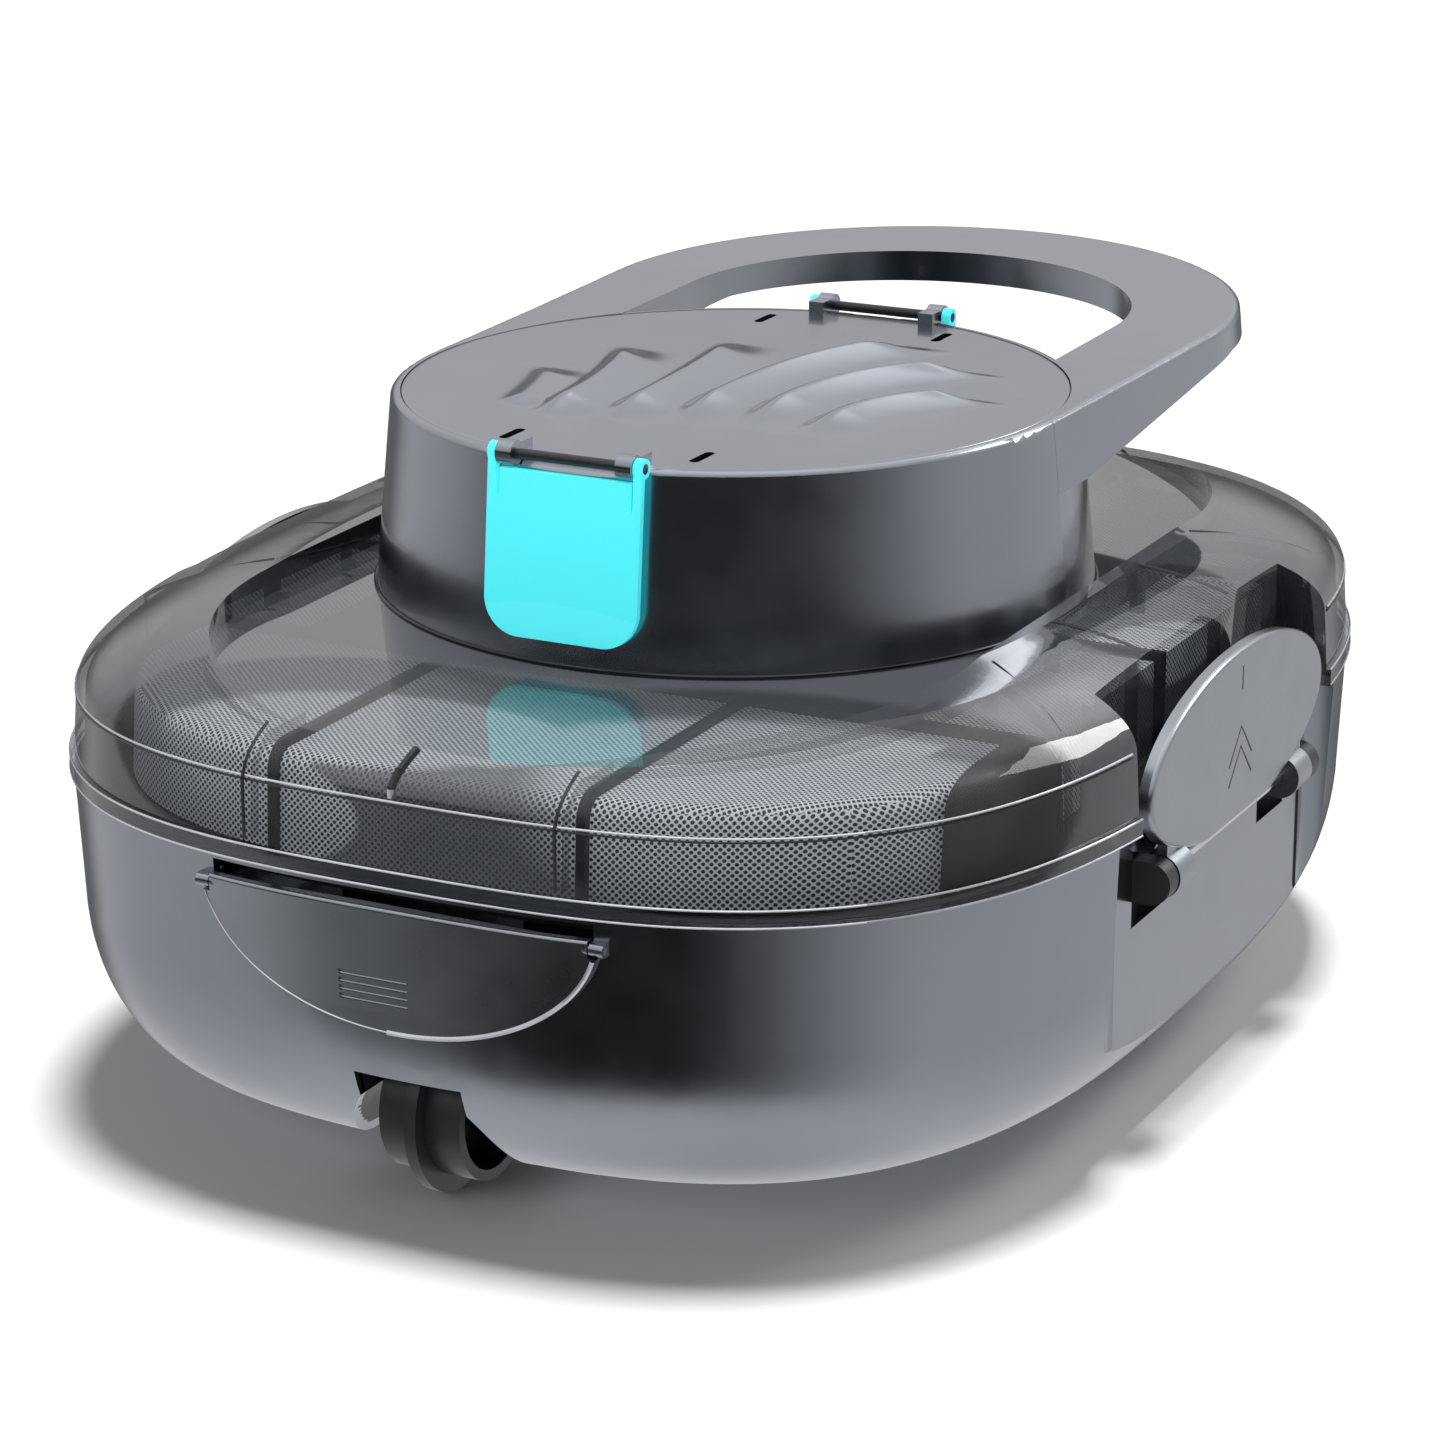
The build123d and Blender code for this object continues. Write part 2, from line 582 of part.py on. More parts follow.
def drain_flap():
    """Half-moon flap that follows the hull's front wall and turns on a hidden roll."""
    moon = Ellipse(DRAIN_FLAP_HALF_WIDTH, DRAIN_FLAP_DEPTH)
    deep = (FRONT_Y - OVERCUT, -HULL_HALF_LENGTH + FOOT_INSET)
    moon_tool = Pos(0, deep[1], DRAIN_MOON_Z) * Rot(90, 0, 0) * extrude(moon, deep[1] - deep[0])
    wide = (-DRAIN_FLAP_HALF_WIDTH, DRAIN_FLAP_HALF_WIDTH)
    moon_tool &= block(wide, deep, (0, DRAIN_FLAP_TOP_Z))
    ear_z = (DRAIN_AXIS_Z - DRAIN_EAR_RADIUS - PART_GAP, SEAM_Z)
    for ear_x in (DRAIN_EAR_X, (-DRAIN_EAR_X[1], -DRAIN_EAR_X[0])):
        moon_tool -= block((ear_x[0] - PART_GAP, ear_x[1] + PART_GAP), deep, ear_z)
    flap = (moon_tool & hull_body(-DRAIN_FLAP_PROUD)) - hull_body(-PART_GAP)
    outer_edges = flap.edges().filter_by(lambda edge: edge.length > DRAIN_FLAP_HALF_WIDTH)
    flap = fillet(outer_edges.group_by(Axis.Y)[0], DRAIN_FLAP_ROUND)
    low_x = DRAIN_GROOVE_SHIFT - DRAIN_GROOVE_HALF_LENGTH
    high_x = DRAIN_GROOVE_SHIFT + DRAIN_GROOVE_HALF_LENGTH
    for i in range(DRAIN_GROOVE_COUNT):
        z = DRAIN_GROOVE_Z - i * DRAIN_GROOVE_PITCH
        face_y = FRONT_Y + HULL_DRAFT * (SEAM_Z - z) / (SEAM_Z - HULL_FLOOR_Z - FOOT_HEIGHT)
        flap -= bar_x(DRAIN_GROOVE_RADIUS, (low_x, high_x), face_y, z)
    roll_x = (-DRAIN_EAR_X[0] + PART_GAP, DRAIN_EAR_X[0] - PART_GAP)
    web_z = (DRAIN_AXIS_Z - DRAIN_ROLL_RADIUS, DRAIN_AXIS_Z + DRAIN_ROLL_RADIUS)
    web = block(roll_x, (FRONT_Y, DRAIN_AXIS_Y), web_z) & hull_body(-DRAIN_FLAP_PROUD / 2)
    flap += web + bar_x(DRAIN_ROLL_RADIUS, roll_x, DRAIN_AXIS_Y, DRAIN_AXIS_Z)
    return flap - bar_x(DRAIN_PIN_RADIUS + RUN_CLEARANCE, wide, DRAIN_AXIS_Y, DRAIN_AXIS_Z)


# ---- Latches ------------------------------------------------------------------------------
def latch_plate():
    """Right latch: an oval plate that stands on two knuckles round the latch rod."""
    oval = Plane.YZ * Ellipse(LATCH_HALF_LENGTH, LATCH_HALF_HEIGHT)
    disc = extrude(oval, LATCH_FACE_X[1] - LATCH_FACE_X[0])
    disc = fillet(disc.edges().sort_by(Axis.X)[-1:], LATCH_EDGE_ROUND)
    disc = Pos(LATCH_FACE_X[0], 0, LATCH_CENTRE_Z) * disc
    cut_z = LATCH_AXIS_Z + LATCH_ROD_RADIUS + LATCH_ROD_GAP
    plate = disc - block((0, REACH), (-REACH, REACH), (0, cut_z))
    hole = bar_y(LATCH_ROD_RADIUS + RUN_CLEARANCE, (-REACH, REACH), LATCH_AXIS_X, LATCH_AXIS_Z)
    arm_z = (LATCH_AXIS_Z, LATCH_AXIS_Z + LATCH_ARM_HEIGHT)
    for end in (-1, 1):
        low, high = sorted(end * y for y in LATCH_KNUCKLE_Y)
        plate += bar_y(LATCH_KNUCKLE_RADIUS, (low, high), LATCH_AXIS_X, LATCH_AXIS_Z)
        plate += block((LATCH_FACE_X[0], LATCH_FACE_X[1] - 1), (low, high), arm_z)
    return plate - hole


def latch_hardware():
    """Right latch rod and the two brackets that hold its ends in the hull's pockets."""
    rod_y = (-LATCH_ROD_HALF_LENGTH, LATCH_ROD_HALF_LENGTH)
    rod = bar_y(LATCH_ROD_RADIUS, rod_y, LATCH_AXIS_X, LATCH_AXIS_Z)
    brackets = []
    for end in (-1, 1):
        low, high = sorted(end * y for y in (LATCH_KNUCKLE_Y[1] + PART_GAP, LATCH_POCKET_Y[1]))
        bracket = bar_y(LATCH_BRACKET_RADIUS, (low, high), LATCH_AXIS_X, LATCH_AXIS_Z)
        z_range = (LATCH_AXIS_Z - LATCH_BRACKET_RADIUS, LATCH_AXIS_Z + LATCH_BRACKET_RADIUS)
        bracket += block((LATCH_POCKET_X, LATCH_AXIS_X), (low, high), z_range)
        brackets.append(bracket - rod)
    return rod, brackets


# ---- Clear cover --------------------------------------------------------------------------
def dome_rise(scale):
    """Height of the cover's shoulder above its edge, where the plan has shrunk to a scale."""
    share = (scale - CREST_SCALE) / (1 - CREST_SCALE)
    return CREST_RISE * sqrt(max(0.0, 1 - share ** 2))


def disc_pocket(inset):
    """Tool for the sunken disc in the cover's top: straight sides and elliptical ends."""
    low = DISC_Z - inset
    half = DISC_HALF_WIDTH + inset
    tool = block((-half, half), (-DISC_END_Y, DISC_END_Y), (low, DECK_Z))
    for end in (-1, 1):
        plan = Ellipse(half, DISC_END_HALF_LENGTH + inset)
        tool += Pos(0, end * DISC_END_Y, low) * extrude(plan, DECK_Z - low)
    return tool


def notch_tool(inset):
    """Tool for the right side notch, where the latch stands."""
    inner, outer = NOTCH_INNER_X - inset, HULL_HALF_WIDTH + OVERCUT
    flare = (NOTCH_OUTER_HALF_LENGTH - NOTCH_INNER_HALF_LENGTH) / (NOTCH_OUTER_X - NOTCH_INNER_X)
    inner_y = NOTCH_INNER_HALF_LENGTH + inset
    outer_y = inner_y + flare * (outer - inner)
    corners = [(inner, -inner_y), (outer, -outer_y), (outer, outer_y), (inner, inner_y)]
    plan = make_face(Polyline(*corners, close=True))
    return Pos(0, 0, SEAM_Z - 2 * OVERCUT) * extrude(plan, DECK_Z - SEAM_Z)


def cover_volume(inset):
    """Solid of the cover's outer shape, or of the space under it when inset."""
    half_x, half_y = HULL_HALF_WIDTH - inset, HULL_HALF_LENGTH - inset
    low = SEAM_Z - (OVERCUT if inset else 0)
    edge_z = COVER_EDGE_Z
    foot_face = outline(half_x, half_y, low)
    edge_face = outline(half_x - HULL_DRAFT, half_y - HULL_DRAFT, edge_z)
    wall = loft([foot_face, edge_face], ruled=True)
    sections = []
    for scale in SHOULDER_SCALES:
        plan_x = (HULL_HALF_WIDTH - HULL_DRAFT) * scale - inset
        plan_y = (HULL_HALF_LENGTH - HULL_DRAFT) * scale - inset
        rise = dome_rise(scale) * (1 - inset / CREST_RISE)
        sections.append(outline(plan_x, plan_y, edge_z + rise))
    body = wall + loft(sections)
    if not inset:
        lip = outline(half_x + LIP_PROUD, half_y + LIP_PROUD, SEAM_Z)
        body += extrude(lip, LIP_TOP_Z - SEAM_Z)
    notch = notch_tool(inset)
    return body - disc_pocket(inset) - notch - flip_x(notch)


def top_cover():
    """Clear cover: a domed shell with a sunken disc, side notches and stiffening ribs."""
    room = cover_volume(COVER_WALL)
    shell = cover_volume(0) - room
    blades = []
    for end in (-1, 1):
        for side in (-1, 1):
            places = [
                (RIB_END_PLACE, 90, RIB_END_LENGTH),
                (RIB_CORNER_PLACE, side * end * RIB_CORNER_ANGLE, RIB_CORNER_LENGTH),
                (RIB_SIDE_PLACE, 0, RIB_SIDE_LENGTH),
            ]
            for (x, y), turn, length in places:
                blade = Rot(0, 0, turn) * Box(length, RIB_THICKNESS, RIB_BLADE_HEIGHT)
                blades.append(Pos(side * x, end * y, RIB_BLADE_Z) * blade)
    rib_band = room - cover_volume(COVER_WALL + RIB_DEPTH)
    rib_band &= block((-REACH, REACH), (-REACH, REACH), (LIP_TOP_Z, DECK_Z))
    for blade in blades:
        shell += blade & rib_band
    return shell - bar_z(DISC_HOLE_RADIUS, (SEAM_Z, DECK_Z), 0, 0)


def cover_seals():
    """Front and rear rubber seals between the hull's wall and the cover."""
    low = SEAM_Z - SEAL_HEIGHT
    outer, inner = SEAL_INSETS
    ring = extrude(outline(HULL_HALF_WIDTH - outer, HULL_HALF_LENGTH - outer, low), SEAL_HEIGHT)
    hole = outline(HULL_HALF_WIDTH - inner, HULL_HALF_LENGTH - inner, low - OVERCUT)
    ring -= extrude(hole, SEAL_HEIGHT + 2 * OVERCUT)
    front = ring & block((-REACH, REACH), (-REACH, -SEAL_END_Y), (0, REACH))
    front -= block((-SEAL_BREAK[0], SEAL_BREAK[0]), (-REACH, -SEAL_BREAK[1]), (0, REACH))
    halves = [solid for solid in front.solids()]
    return halves + [flip_y(solid) for solid in halves]


# ---- Turret, handle and deck --------------------------------------------------------------
def turret_radius(z):
    """Outer radius of the turret's wall at a height."""
    return TURRET_FOOT_RADIUS - (TURRET_FOOT_RADIUS - TURRET_TOP_RADIUS) * (z - DISC_Z) / (DECK_Z - DISC_Z)


def handle_outline(z):
    """Handle's outer plan at a height: it leaves the turret's wall and ends half-round."""
    wall = turret_radius(z)
    end = HANDLE_HALF_WIDTH + wall - TURRET_TOP_RADIUS
    end_y = HANDLE_END_Y - HANDLE_HALF_WIDTH
    turn = asin((end - wall) / end_y)
    root_x = wall / cos(turn)
    side_x = end * cos(turn)
    side_y = end_y - end * sin(turn)
    right = Line((root_x, 0, z), (side_x, side_y, z))
    curve = ThreePointArc((side_x, side_y, z), (0, end_y + end, z), (-side_x, side_y, z))
    left = Line((-side_x, side_y, z), (-root_x, 0, z))
    return make_face([right, curve, left, Line((-root_x, 0, z), (root_x, 0, z))])


def handle_ring():
    """Carrying handle: a ring that rises a little and thickens towards the turret."""
    top_end = DECK_Z + HANDLE_TOP_RISE
    under_z = top_end - HANDLE_THICKNESS
    far_y = HANDLE_END_Y + OVERCUT
    top = TangentArc((0, DECK_Z), (far_y, top_end), tangent=(1, 0))
    under = Polyline(
        (far_y, top_end),
        (far_y, under_z),
        (HANDLE_FLAT_Y, under_z),
        (HANDLE_ROOT_Y, HANDLE_ROOT_Z),
        (0, HANDLE_ROOT_Z),
        (0, DECK_Z),
    )
    slab = extrude(Plane.YZ * make_face([top, under]), HANDLE_HALF_WIDTH + FLARE_ROOM, both=True)
    outer = loft([handle_outline(z) for z in HANDLE_PLAN_Z], ruled=True)
    opening_y = HANDLE_OPENING_END_Y - HANDLE_OPENING_HALF_WIDTH
    inner = bar_z(HANDLE_OPENING_HALF_WIDTH, HANDLE_PLAN_Z, 0, opening_y)
    half = HANDLE_OPENING_HALF_WIDTH
    inner += block((-half, half), (-1, opening_y), HANDLE_PLAN_Z)
    ring = slab & (outer - inner)
    return fillet(ring.edges().filter_by(on_outer_rim), RIM_ROUND)


def on_outer_rim(edge):
    """Whether an edge lies on the outer top rim of the turret and its handle."""
    middle = edge @ 0.5
    end_y = HANDLE_END_Y - HANDLE_HALF_WIDTH
    from_end = sqrt(middle.X ** 2 + max(0.0, middle.Y - end_y) ** 2)
    from_turret = sqrt(middle.X ** 2 + min(0.0, middle.Y) ** 2)
    high = min(vertex.Z for vertex in edge.vertices()) > DECK_Z - TOUCH
    return high and min(from_end, from_turret) > TURRET_TOP_RADIUS - TOUCH


def jet_groove(end):
    """Round groove across the rim that frees one jet flap's rod, lugs and arms."""
    half = JET_FLAP_HALF_WIDTH + JET_GROOVE_END_GAP
    return bar_x(JET_LUG_RADIUS + JET_GROOVE_GAP, (-half, half), end * JET_AXIS_Y, JET_AXIS_Z)


def turret_housing():
    """Round turret shell and carrying handle in one moulding."""
    height = DECK_Z - DISC_Z
    cone = Pos(0, 0, (DECK_Z + DISC_Z) / 2) * Cone(TURRET_FOOT_RADIUS, TURRET_TOP_RADIUS, height)
    body = fillet(cone.edges().sort_by(Axis.Z)[-1:], RIM_ROUND) + handle_ring()
    ledge_z = DECK_Z - DECK_THICKNESS
    inner_top = turret_radius(ledge_z - LEDGE_THICKNESS) - TURRET_WALL
    room_height = ledge_z - LEDGE_THICKNESS - DISC_Z
    room = Cone(TURRET_FOOT_RADIUS - TURRET_WALL, inner_top, room_height)
    body -= Pos(0, 0, DISC_Z + room_height / 2) * room
    body -= bar_z(DECK_RADIUS - LEDGE_WIDTH, (DISC_Z, DECK_Z + OVERCUT), 0, 0)
    body -= bar_z(DECK_RADIUS + PART_GAP / 2, (ledge_z, DECK_Z + OVERCUT), 0, 0)
    window_x = (-JET_WINDOW_HALF_WIDTH, JET_WINDOW_HALF_WIDTH)
    for end in (-1, 1):
        window_y = (end * JET_AXIS_Y - JET_WINDOW_DEPTH, end * JET_AXIS_Y + JET_WINDOW_DEPTH)
        body -= jet_groove(end)
        body -= block(window_x, window_y, JET_WINDOW_Z)
    button_bore = bar_x(BUTTON_RADIUS + BUTTON_GAP, SIDE_BORE_X, 0, SIDE_CONTROL_Z)
    socket_bore = bar_x(SOCKET_RADIUS, SIDE_BORE_X, 0, SIDE_CONTROL_Z)
    body -= Rot(0, 0, CONTROL_TURN) * button_bore
    return body - Rot(0, 0, -CONTROL_TURN) * socket_bore


def deck_plate():
    """Deck: a disc with four slots and shallow curved flutes."""
    deck = bar_z(DECK_RADIUS, (DECK_Z - DECK_THICKNESS, DECK_Z), 0, 0)
    deck -= jet_groove(-1)
    deck -= jet_groove(1)
    for x, y in DECK_SLOT_PLACES:
        slot = Rot(0, 0, 90) * SlotOverall(*DECK_SLOT)
        deck -= Pos(x, y, DECK_Z - DECK_THICKNESS - 1) * extrude(slot, DECK_THICKNESS + 2)
    for start, middle, end in FLUTES:
        points = [(x, y, DECK_Z + FLUTE_RISE) for x, y in (start, middle, end)]
        path = ThreePointArc(*points)
        deck -= sweep(Plane(origin=path @ 0, z_dir=path % 0) * Circle(FLUTE_RADIUS), path)
    return deck


def jet_flap():
    """Front jet flap, hanging from its rod and leaning out with the turret's wall."""
    foot = JET_FLAP_FOOT_Z - JET_AXIS_Z
    half = JET_FLAP_HALF_WIDTH
    plan = Pos(0, foot / 2) * Rectangle(2 * half, -foot)
    plan = fillet(plan.vertices().group_by(Axis.Y)[0], JET_FLAP_CORNER)
    plate = Rot(90, 0, 0) * extrude(plan, JET_FLAP_THICKNESS)
    plate = Pos(0, -JET_FLAP_SETBACK, 0) * plate
    plate -= block((-JET_ARM_X, JET_ARM_X), (-REACH, REACH), (-JET_PANEL_TOP, REACH))
    for side in (-1, 1):
        slot_x = sorted((side * (JET_ARM_X - JET_SLOT_WIDTH), side * JET_ARM_X))
        plate -= block(slot_x, (-REACH, REACH), (-JET_SLOT_DEPTH, REACH))
        knuckle_x = sorted((side * JET_ARM_X, side * half))
        plate += bar_x(JET_KNUCKLE_RADIUS, knuckle_x, 0, 0)
    plate -= bar_x(JET_ROD_RADIUS + RUN_CLEARANCE, (-half - OVERCUT, half + OVERCUT), 0, 0)
    lean = degrees(atan2(TURRET_FOOT_RADIUS - TURRET_TOP_RADIUS, DECK_Z - DISC_Z))
    return Pos(0, -JET_AXIS_Y, JET_AXIS_Z) * Rot(-lean, 0, 0) * plate


def jet_hardware():
    """Front flap rod and the two lugs that carry it."""
    rod = bar_x(JET_ROD_RADIUS, (-JET_FLAP_HALF_WIDTH, JET_FLAP_HALF_WIDTH), -JET_AXIS_Y, JET_AXIS_Z)
    lug_z = (DECK_Z, JET_AXIS_Z + JET_LUG_RADIUS - 1)
    lugs = []
    for x in (-JET_LUG_X, JET_LUG_X):
        lug_x = (x - JET_LUG_WIDTH / 2, x + JET_LUG_WIDTH / 2)
        lug = bar_x(JET_LUG_RADIUS, lug_x, -JET_AXIS_Y, JET_AXIS_Z)
        lug += block(lug_x, (-JET_AXIS_Y, -JET_AXIS_Y + JET_LUG_LENGTH), lug_z)
        lugs.append(lug - rod)
    return rod, lugs


def nozzle():
    """Front jet nozzle: a flange behind the turret's window and a round duct."""
    face_y = TURRET_WALL + NOZZLE_STAND - turret_radius(DECK_Z)
    half = NOZZLE_FLANGE_HALF_WIDTH
    flange = block((-half, half), (face_y, face_y + NOZZLE_FLANGE_THICKNESS), NOZZLE_FLANGE_Z)
    tube = bar_y(DUCT_RADIUS + DUCT_WALL, (face_y, face_y + DUCT_LENGTH), 0, JET_Z)
    bore = bar_y(DUCT_RADIUS, (face_y - OVERCUT, face_y + DUCT_LENGTH + OVERCUT), 0, JET_Z)
    return flange + tube - bore


# ---- Drive pod ----------------------------------------------------------------------------
def propeller():
    """Front propeller: three pitched blades on a hub."""
    screw = Cylinder(PROP_HUB_RADIUS, PROP_LENGTH)
    blade = Pos((PROP_RADIUS + PROP_HUB_RADIUS - 1) / 2, 0, 0) * Rot(PROP_PITCH, 0, 0)
    blade *= Box(PROP_RADIUS - PROP_HUB_RADIUS + 1, PROP_LENGTH, PROP_BLADE_THICKNESS)
    for i in range(PROP_BLADES):
        screw += Rot(0, 0, 360 * i / PROP_BLADES) * blade
    screw &= Cylinder(PROP_RADIUS, PROP_LENGTH)
    return Pos(0, -PROP_Y, JET_Z) * Rot(90, 0, 0) * screw


def motor():
    """Front motor can with its end boss."""
    wall_y = -POD_HALF_Y + POD_WALL
    can = bar_y(MOTOR_RADIUS, (wall_y + MOTOR_BOSS_LENGTH, -MOTOR_END_Y), 0, JET_Z)
    can += bar_y(MOTOR_BOSS_RADIUS, (wall_y, wall_y + MOTOR_BOSS_LENGTH), 0, JET_Z)
    return can - bar_y(SHAFT_RADIUS + PART_GAP, (-PROP_Y, -SHAFT_BORE_END_Y), 0, JET_Z)


def motor_shaft():
    """Front motor shaft, from inside the can to just beyond the propeller."""
    tip_y = -PROP_Y - PROP_LENGTH / 2 - SHAFT_TIP
    return bar_y(SHAFT_RADIUS, (tip_y, -SHAFT_END_Y), 0, JET_Z)


def pod_screws():
    """Four round-headed screws that hold the pod to the support ring from below."""
    screws = []
    for x in (-SUPPORT_SCREW_X, SUPPORT_SCREW_X):
        for y in (-SUPPORT_SCREW_Y, SUPPORT_SCREW_Y):
            head = bar_z(SCREW_HEAD_RADIUS, (DISC_Z - SCREW_HEAD_HEIGHT, DISC_Z), x, y)
            screws.append(head + bar_z(SCREW_RADIUS, (DISC_Z, DISC_Z + SCREW_LENGTH), x, y))
    return screws


def pod_parts():
    """Sealed pod, its lid, the support ring and the board inside."""
    outer = block((-POD_HALF_X, POD_HALF_X), (-POD_HALF_Y, POD_HALF_Y), POD_Z)
    outer = fillet(outer.edges().filter_by(Axis.Z), POD_CORNER)
    inner_x, inner_y = POD_HALF_X - POD_WALL, POD_HALF_Y - POD_WALL
    pod = outer - block((-inner_x, inner_x), (-inner_y, inner_y), (POD_Z[0] + POD_WALL, REACH))
    pod -= bar_y(SEAL_RADIUS, (-REACH, REACH), 0, JET_Z)
    lid_z = (POD_Z[1], POD_Z[1] + POD_LID_THICKNESS)
    lid = block((-POD_HALF_X, POD_HALF_X), (-POD_HALF_Y, POD_HALF_Y), lid_z)
    lid = fillet(lid.edges().filter_by(Axis.Z), POD_CORNER)
    ring = bar_z(SUPPORT_RADIUS, (DISC_Z, POD_Z[0]), 0, 0)
    for side in (-1, 1):
        slot_x = sorted(side * x for x in SUPPORT_SLOT_X)
        for end in (-1, 1):
            slot_y = sorted(end * y for y in SUPPORT_SLOT_Y)
            ring -= block(slot_x, slot_y, (SEAM_Z, DECK_Z))
    for pod_screw in pod_screws():
        pod -= pod_screw
        ring -= pod_screw
    half_x, half_y = BOARD_HALF_SIZE
    board = block((-half_x, half_x), (-half_y, half_y), (BOARD_Z, BOARD_Z + BOARD_THICKNESS))
    return pod, lid, ring, board


def battery_cells():
    """Twelve round cells in two layers on both sides of the motors."""
    cells = []
    for side in (-1, 1):
        for x in CELL_PLACES_X:
            for z in CELL_PLACES_Z:
                cells.append(bar_y(CELL_RADIUS, (-CELL_LENGTH / 2, CELL_LENGTH / 2), side * x, z))
    return cells


def shaft_seal():
    """Front shaft seal in the pod's wall."""
    seal = bar_y(SEAL_RADIUS, (-POD_HALF_Y, -POD_HALF_Y + POD_WALL), 0, JET_Z)
    return seal - bar_y(SHAFT_RADIUS + RUN_CLEARANCE, (-REACH, 0), 0, JET_Z)


# ---- Side controls ------------------------------------------------------------------------
def power_button():
    """Round push button on the turret's left side."""
    face_x = -turret_radius(SIDE_CONTROL_Z)
    back_x = face_x + BUTTON_DEPTH
    button = bar_x(BUTTON_RADIUS, (face_x - BUTTON_PROUD, back_x), 0, SIDE_CONTROL_Z)
    button = fillet(button.edges().sort_by(Axis.X)[:1], BUTTON_ROUND)
    floor_x = back_x + BUTTON_TRAVEL + 1
    cup_x = (face_x + TURRET_WALL + CUP_STAND, floor_x + CUP_FLOOR)
    cup = bar_x(BUTTON_RADIUS + CUP_WALL, cup_x, 0, SIDE_CONTROL_Z)
    cup -= bar_x(BUTTON_RADIUS + RUN_CLEARANCE, (cup_x[0] - 1, floor_x), 0, SIDE_CONTROL_Z)
    turn = Rot(0, 0, CONTROL_TURN)
    return turn * button, turn * cup


def charge_port():
    """Charging socket, its two contacts and the hinged rubber plug."""
    face_x = -turret_radius(SIDE_CONTROL_Z)
    z = SIDE_CONTROL_Z
    bore_end = face_x + SOCKET_BORE_DEPTH
    socket = bar_x(SOCKET_RADIUS, (face_x + 1, face_x + 1 + SOCKET_LENGTH), 0, z)
    socket -= bar_x(SOCKET_BORE_RADIUS, (face_x - 1, bore_end), 0, z)
    contacts = []
    for shift in (-CONTACT_SHIFT, CONTACT_SHIFT):
        contacts.append(bar_x(CONTACT_RADIUS, (bore_end - CONTACT_LENGTH, bore_end), shift, z))
    cap_x = (face_x - PLUG_STAND - PLUG_THICKNESS, face_x - PLUG_STAND)
    plug = bar_x(SOCKET_RADIUS + 1, cap_x, 0, z)
    plug += bar_x(SOCKET_BORE_RADIUS - PLUG_FIT, (cap_x[1] - 1, face_x + PLUG_DEPTH), 0, z)
    hinge_x = face_x - PLUG_HINGE_STAND
    hinge_z = z - PLUG_HINGE_DROP
    hinge_y = (-PLUG_HINGE_HALF, PLUG_HINGE_HALF)
    plug += block(cap_x, hinge_y, (hinge_z, z))
    plug += bar_y(PLUG_KNUCKLE_RADIUS, hinge_y, hinge_x, hinge_z)
    pin_y = (hinge_y[0] - PLUG_EAR_WIDTH, hinge_y[1] + PLUG_EAR_WIDTH)
    pin = bar_y(PLUG_PIN_RADIUS, pin_y, hinge_x, hinge_z)
    plug -= bar_y(PLUG_PIN_RADIUS + RUN_CLEARANCE, hinge_y, hinge_x, hinge_z)
    wall_x = -turret_radius(hinge_z - PLUG_KNUCKLE_RADIUS) - PLUG_EAR_GAP
    ear_x = (hinge_x - PLUG_KNUCKLE_RADIUS, wall_x)
    ear_z = (hinge_z - PLUG_KNUCKLE_RADIUS, hinge_z + PLUG_KNUCKLE_RADIUS)
    ears = []
    for low in (pin_y[0], hinge_y[1] + PART_GAP):
        ear = block(ear_x, (low, low + PLUG_EAR_WIDTH - PART_GAP), ear_z)
        ears.append(ear - pin)
    turn = Rot(0, 0, -CONTROL_TURN)
    contacts = [turn * contact for contact in contacts]
    ears = [turn * ear for ear in ears]
    return turn * socket, contacts, turn * plug, turn * pin, ears


# ---- Filter -------------------------------------------------------------------------------
def filter_volume(inset):
    """Solid of the filter basket's outer shape, or of the space inside its wall."""
    half_x, half_y = FILTER_HALF_X - inset, FILTER_HALF_Y - inset
    low = FILTER_FOOT_Z - (OVERCUT if inset else 0)
    foot = outline(half_x, half_y, low)
    head = outline(half_x - FILTER_DRAFT, half_y - FILTER_DRAFT, FILTER_TOP_Z - inset)
    body = loft([foot, head], ruled=True)
    body = fillet(body.edges().sort_by(Axis.Z)[-1:], FILTER_EDGE_ROUND - inset)
    side_y = FILTER_SIDE_HALF_Y + inset
    side = block((FILTER_SIDE_X - inset, REACH), (-side_y, side_y), (0, REACH))
    return body - side - flip_x(side)


def filter_windows():
    """Window tools through the basket's top and walls, one for each bay."""
    tall = (FILTER_FOOT_Z + FILTER_SILL, FILTER_TOP_Z + OVERCUT)
    tools = []
    for end in (-1, 1):
        y_range = sorted((end * FILTER_BAY_Y, end * (FILTER_HALF_Y + OVERCUT)))
        for bay_x in FILTER_BAYS_X:
            tools.append(block(bay_x, y_range, tall))
        for side in (-1, 1):
            x_range = sorted((side * FILTER_SIDE_BAY_X, side * (FILTER_SIDE_X + OVERCUT)))
            y_range = sorted(end * y for y in FILTER_SIDE_BAY_Y)
            tools.append(block(x_range, y_range, tall))
    return tools


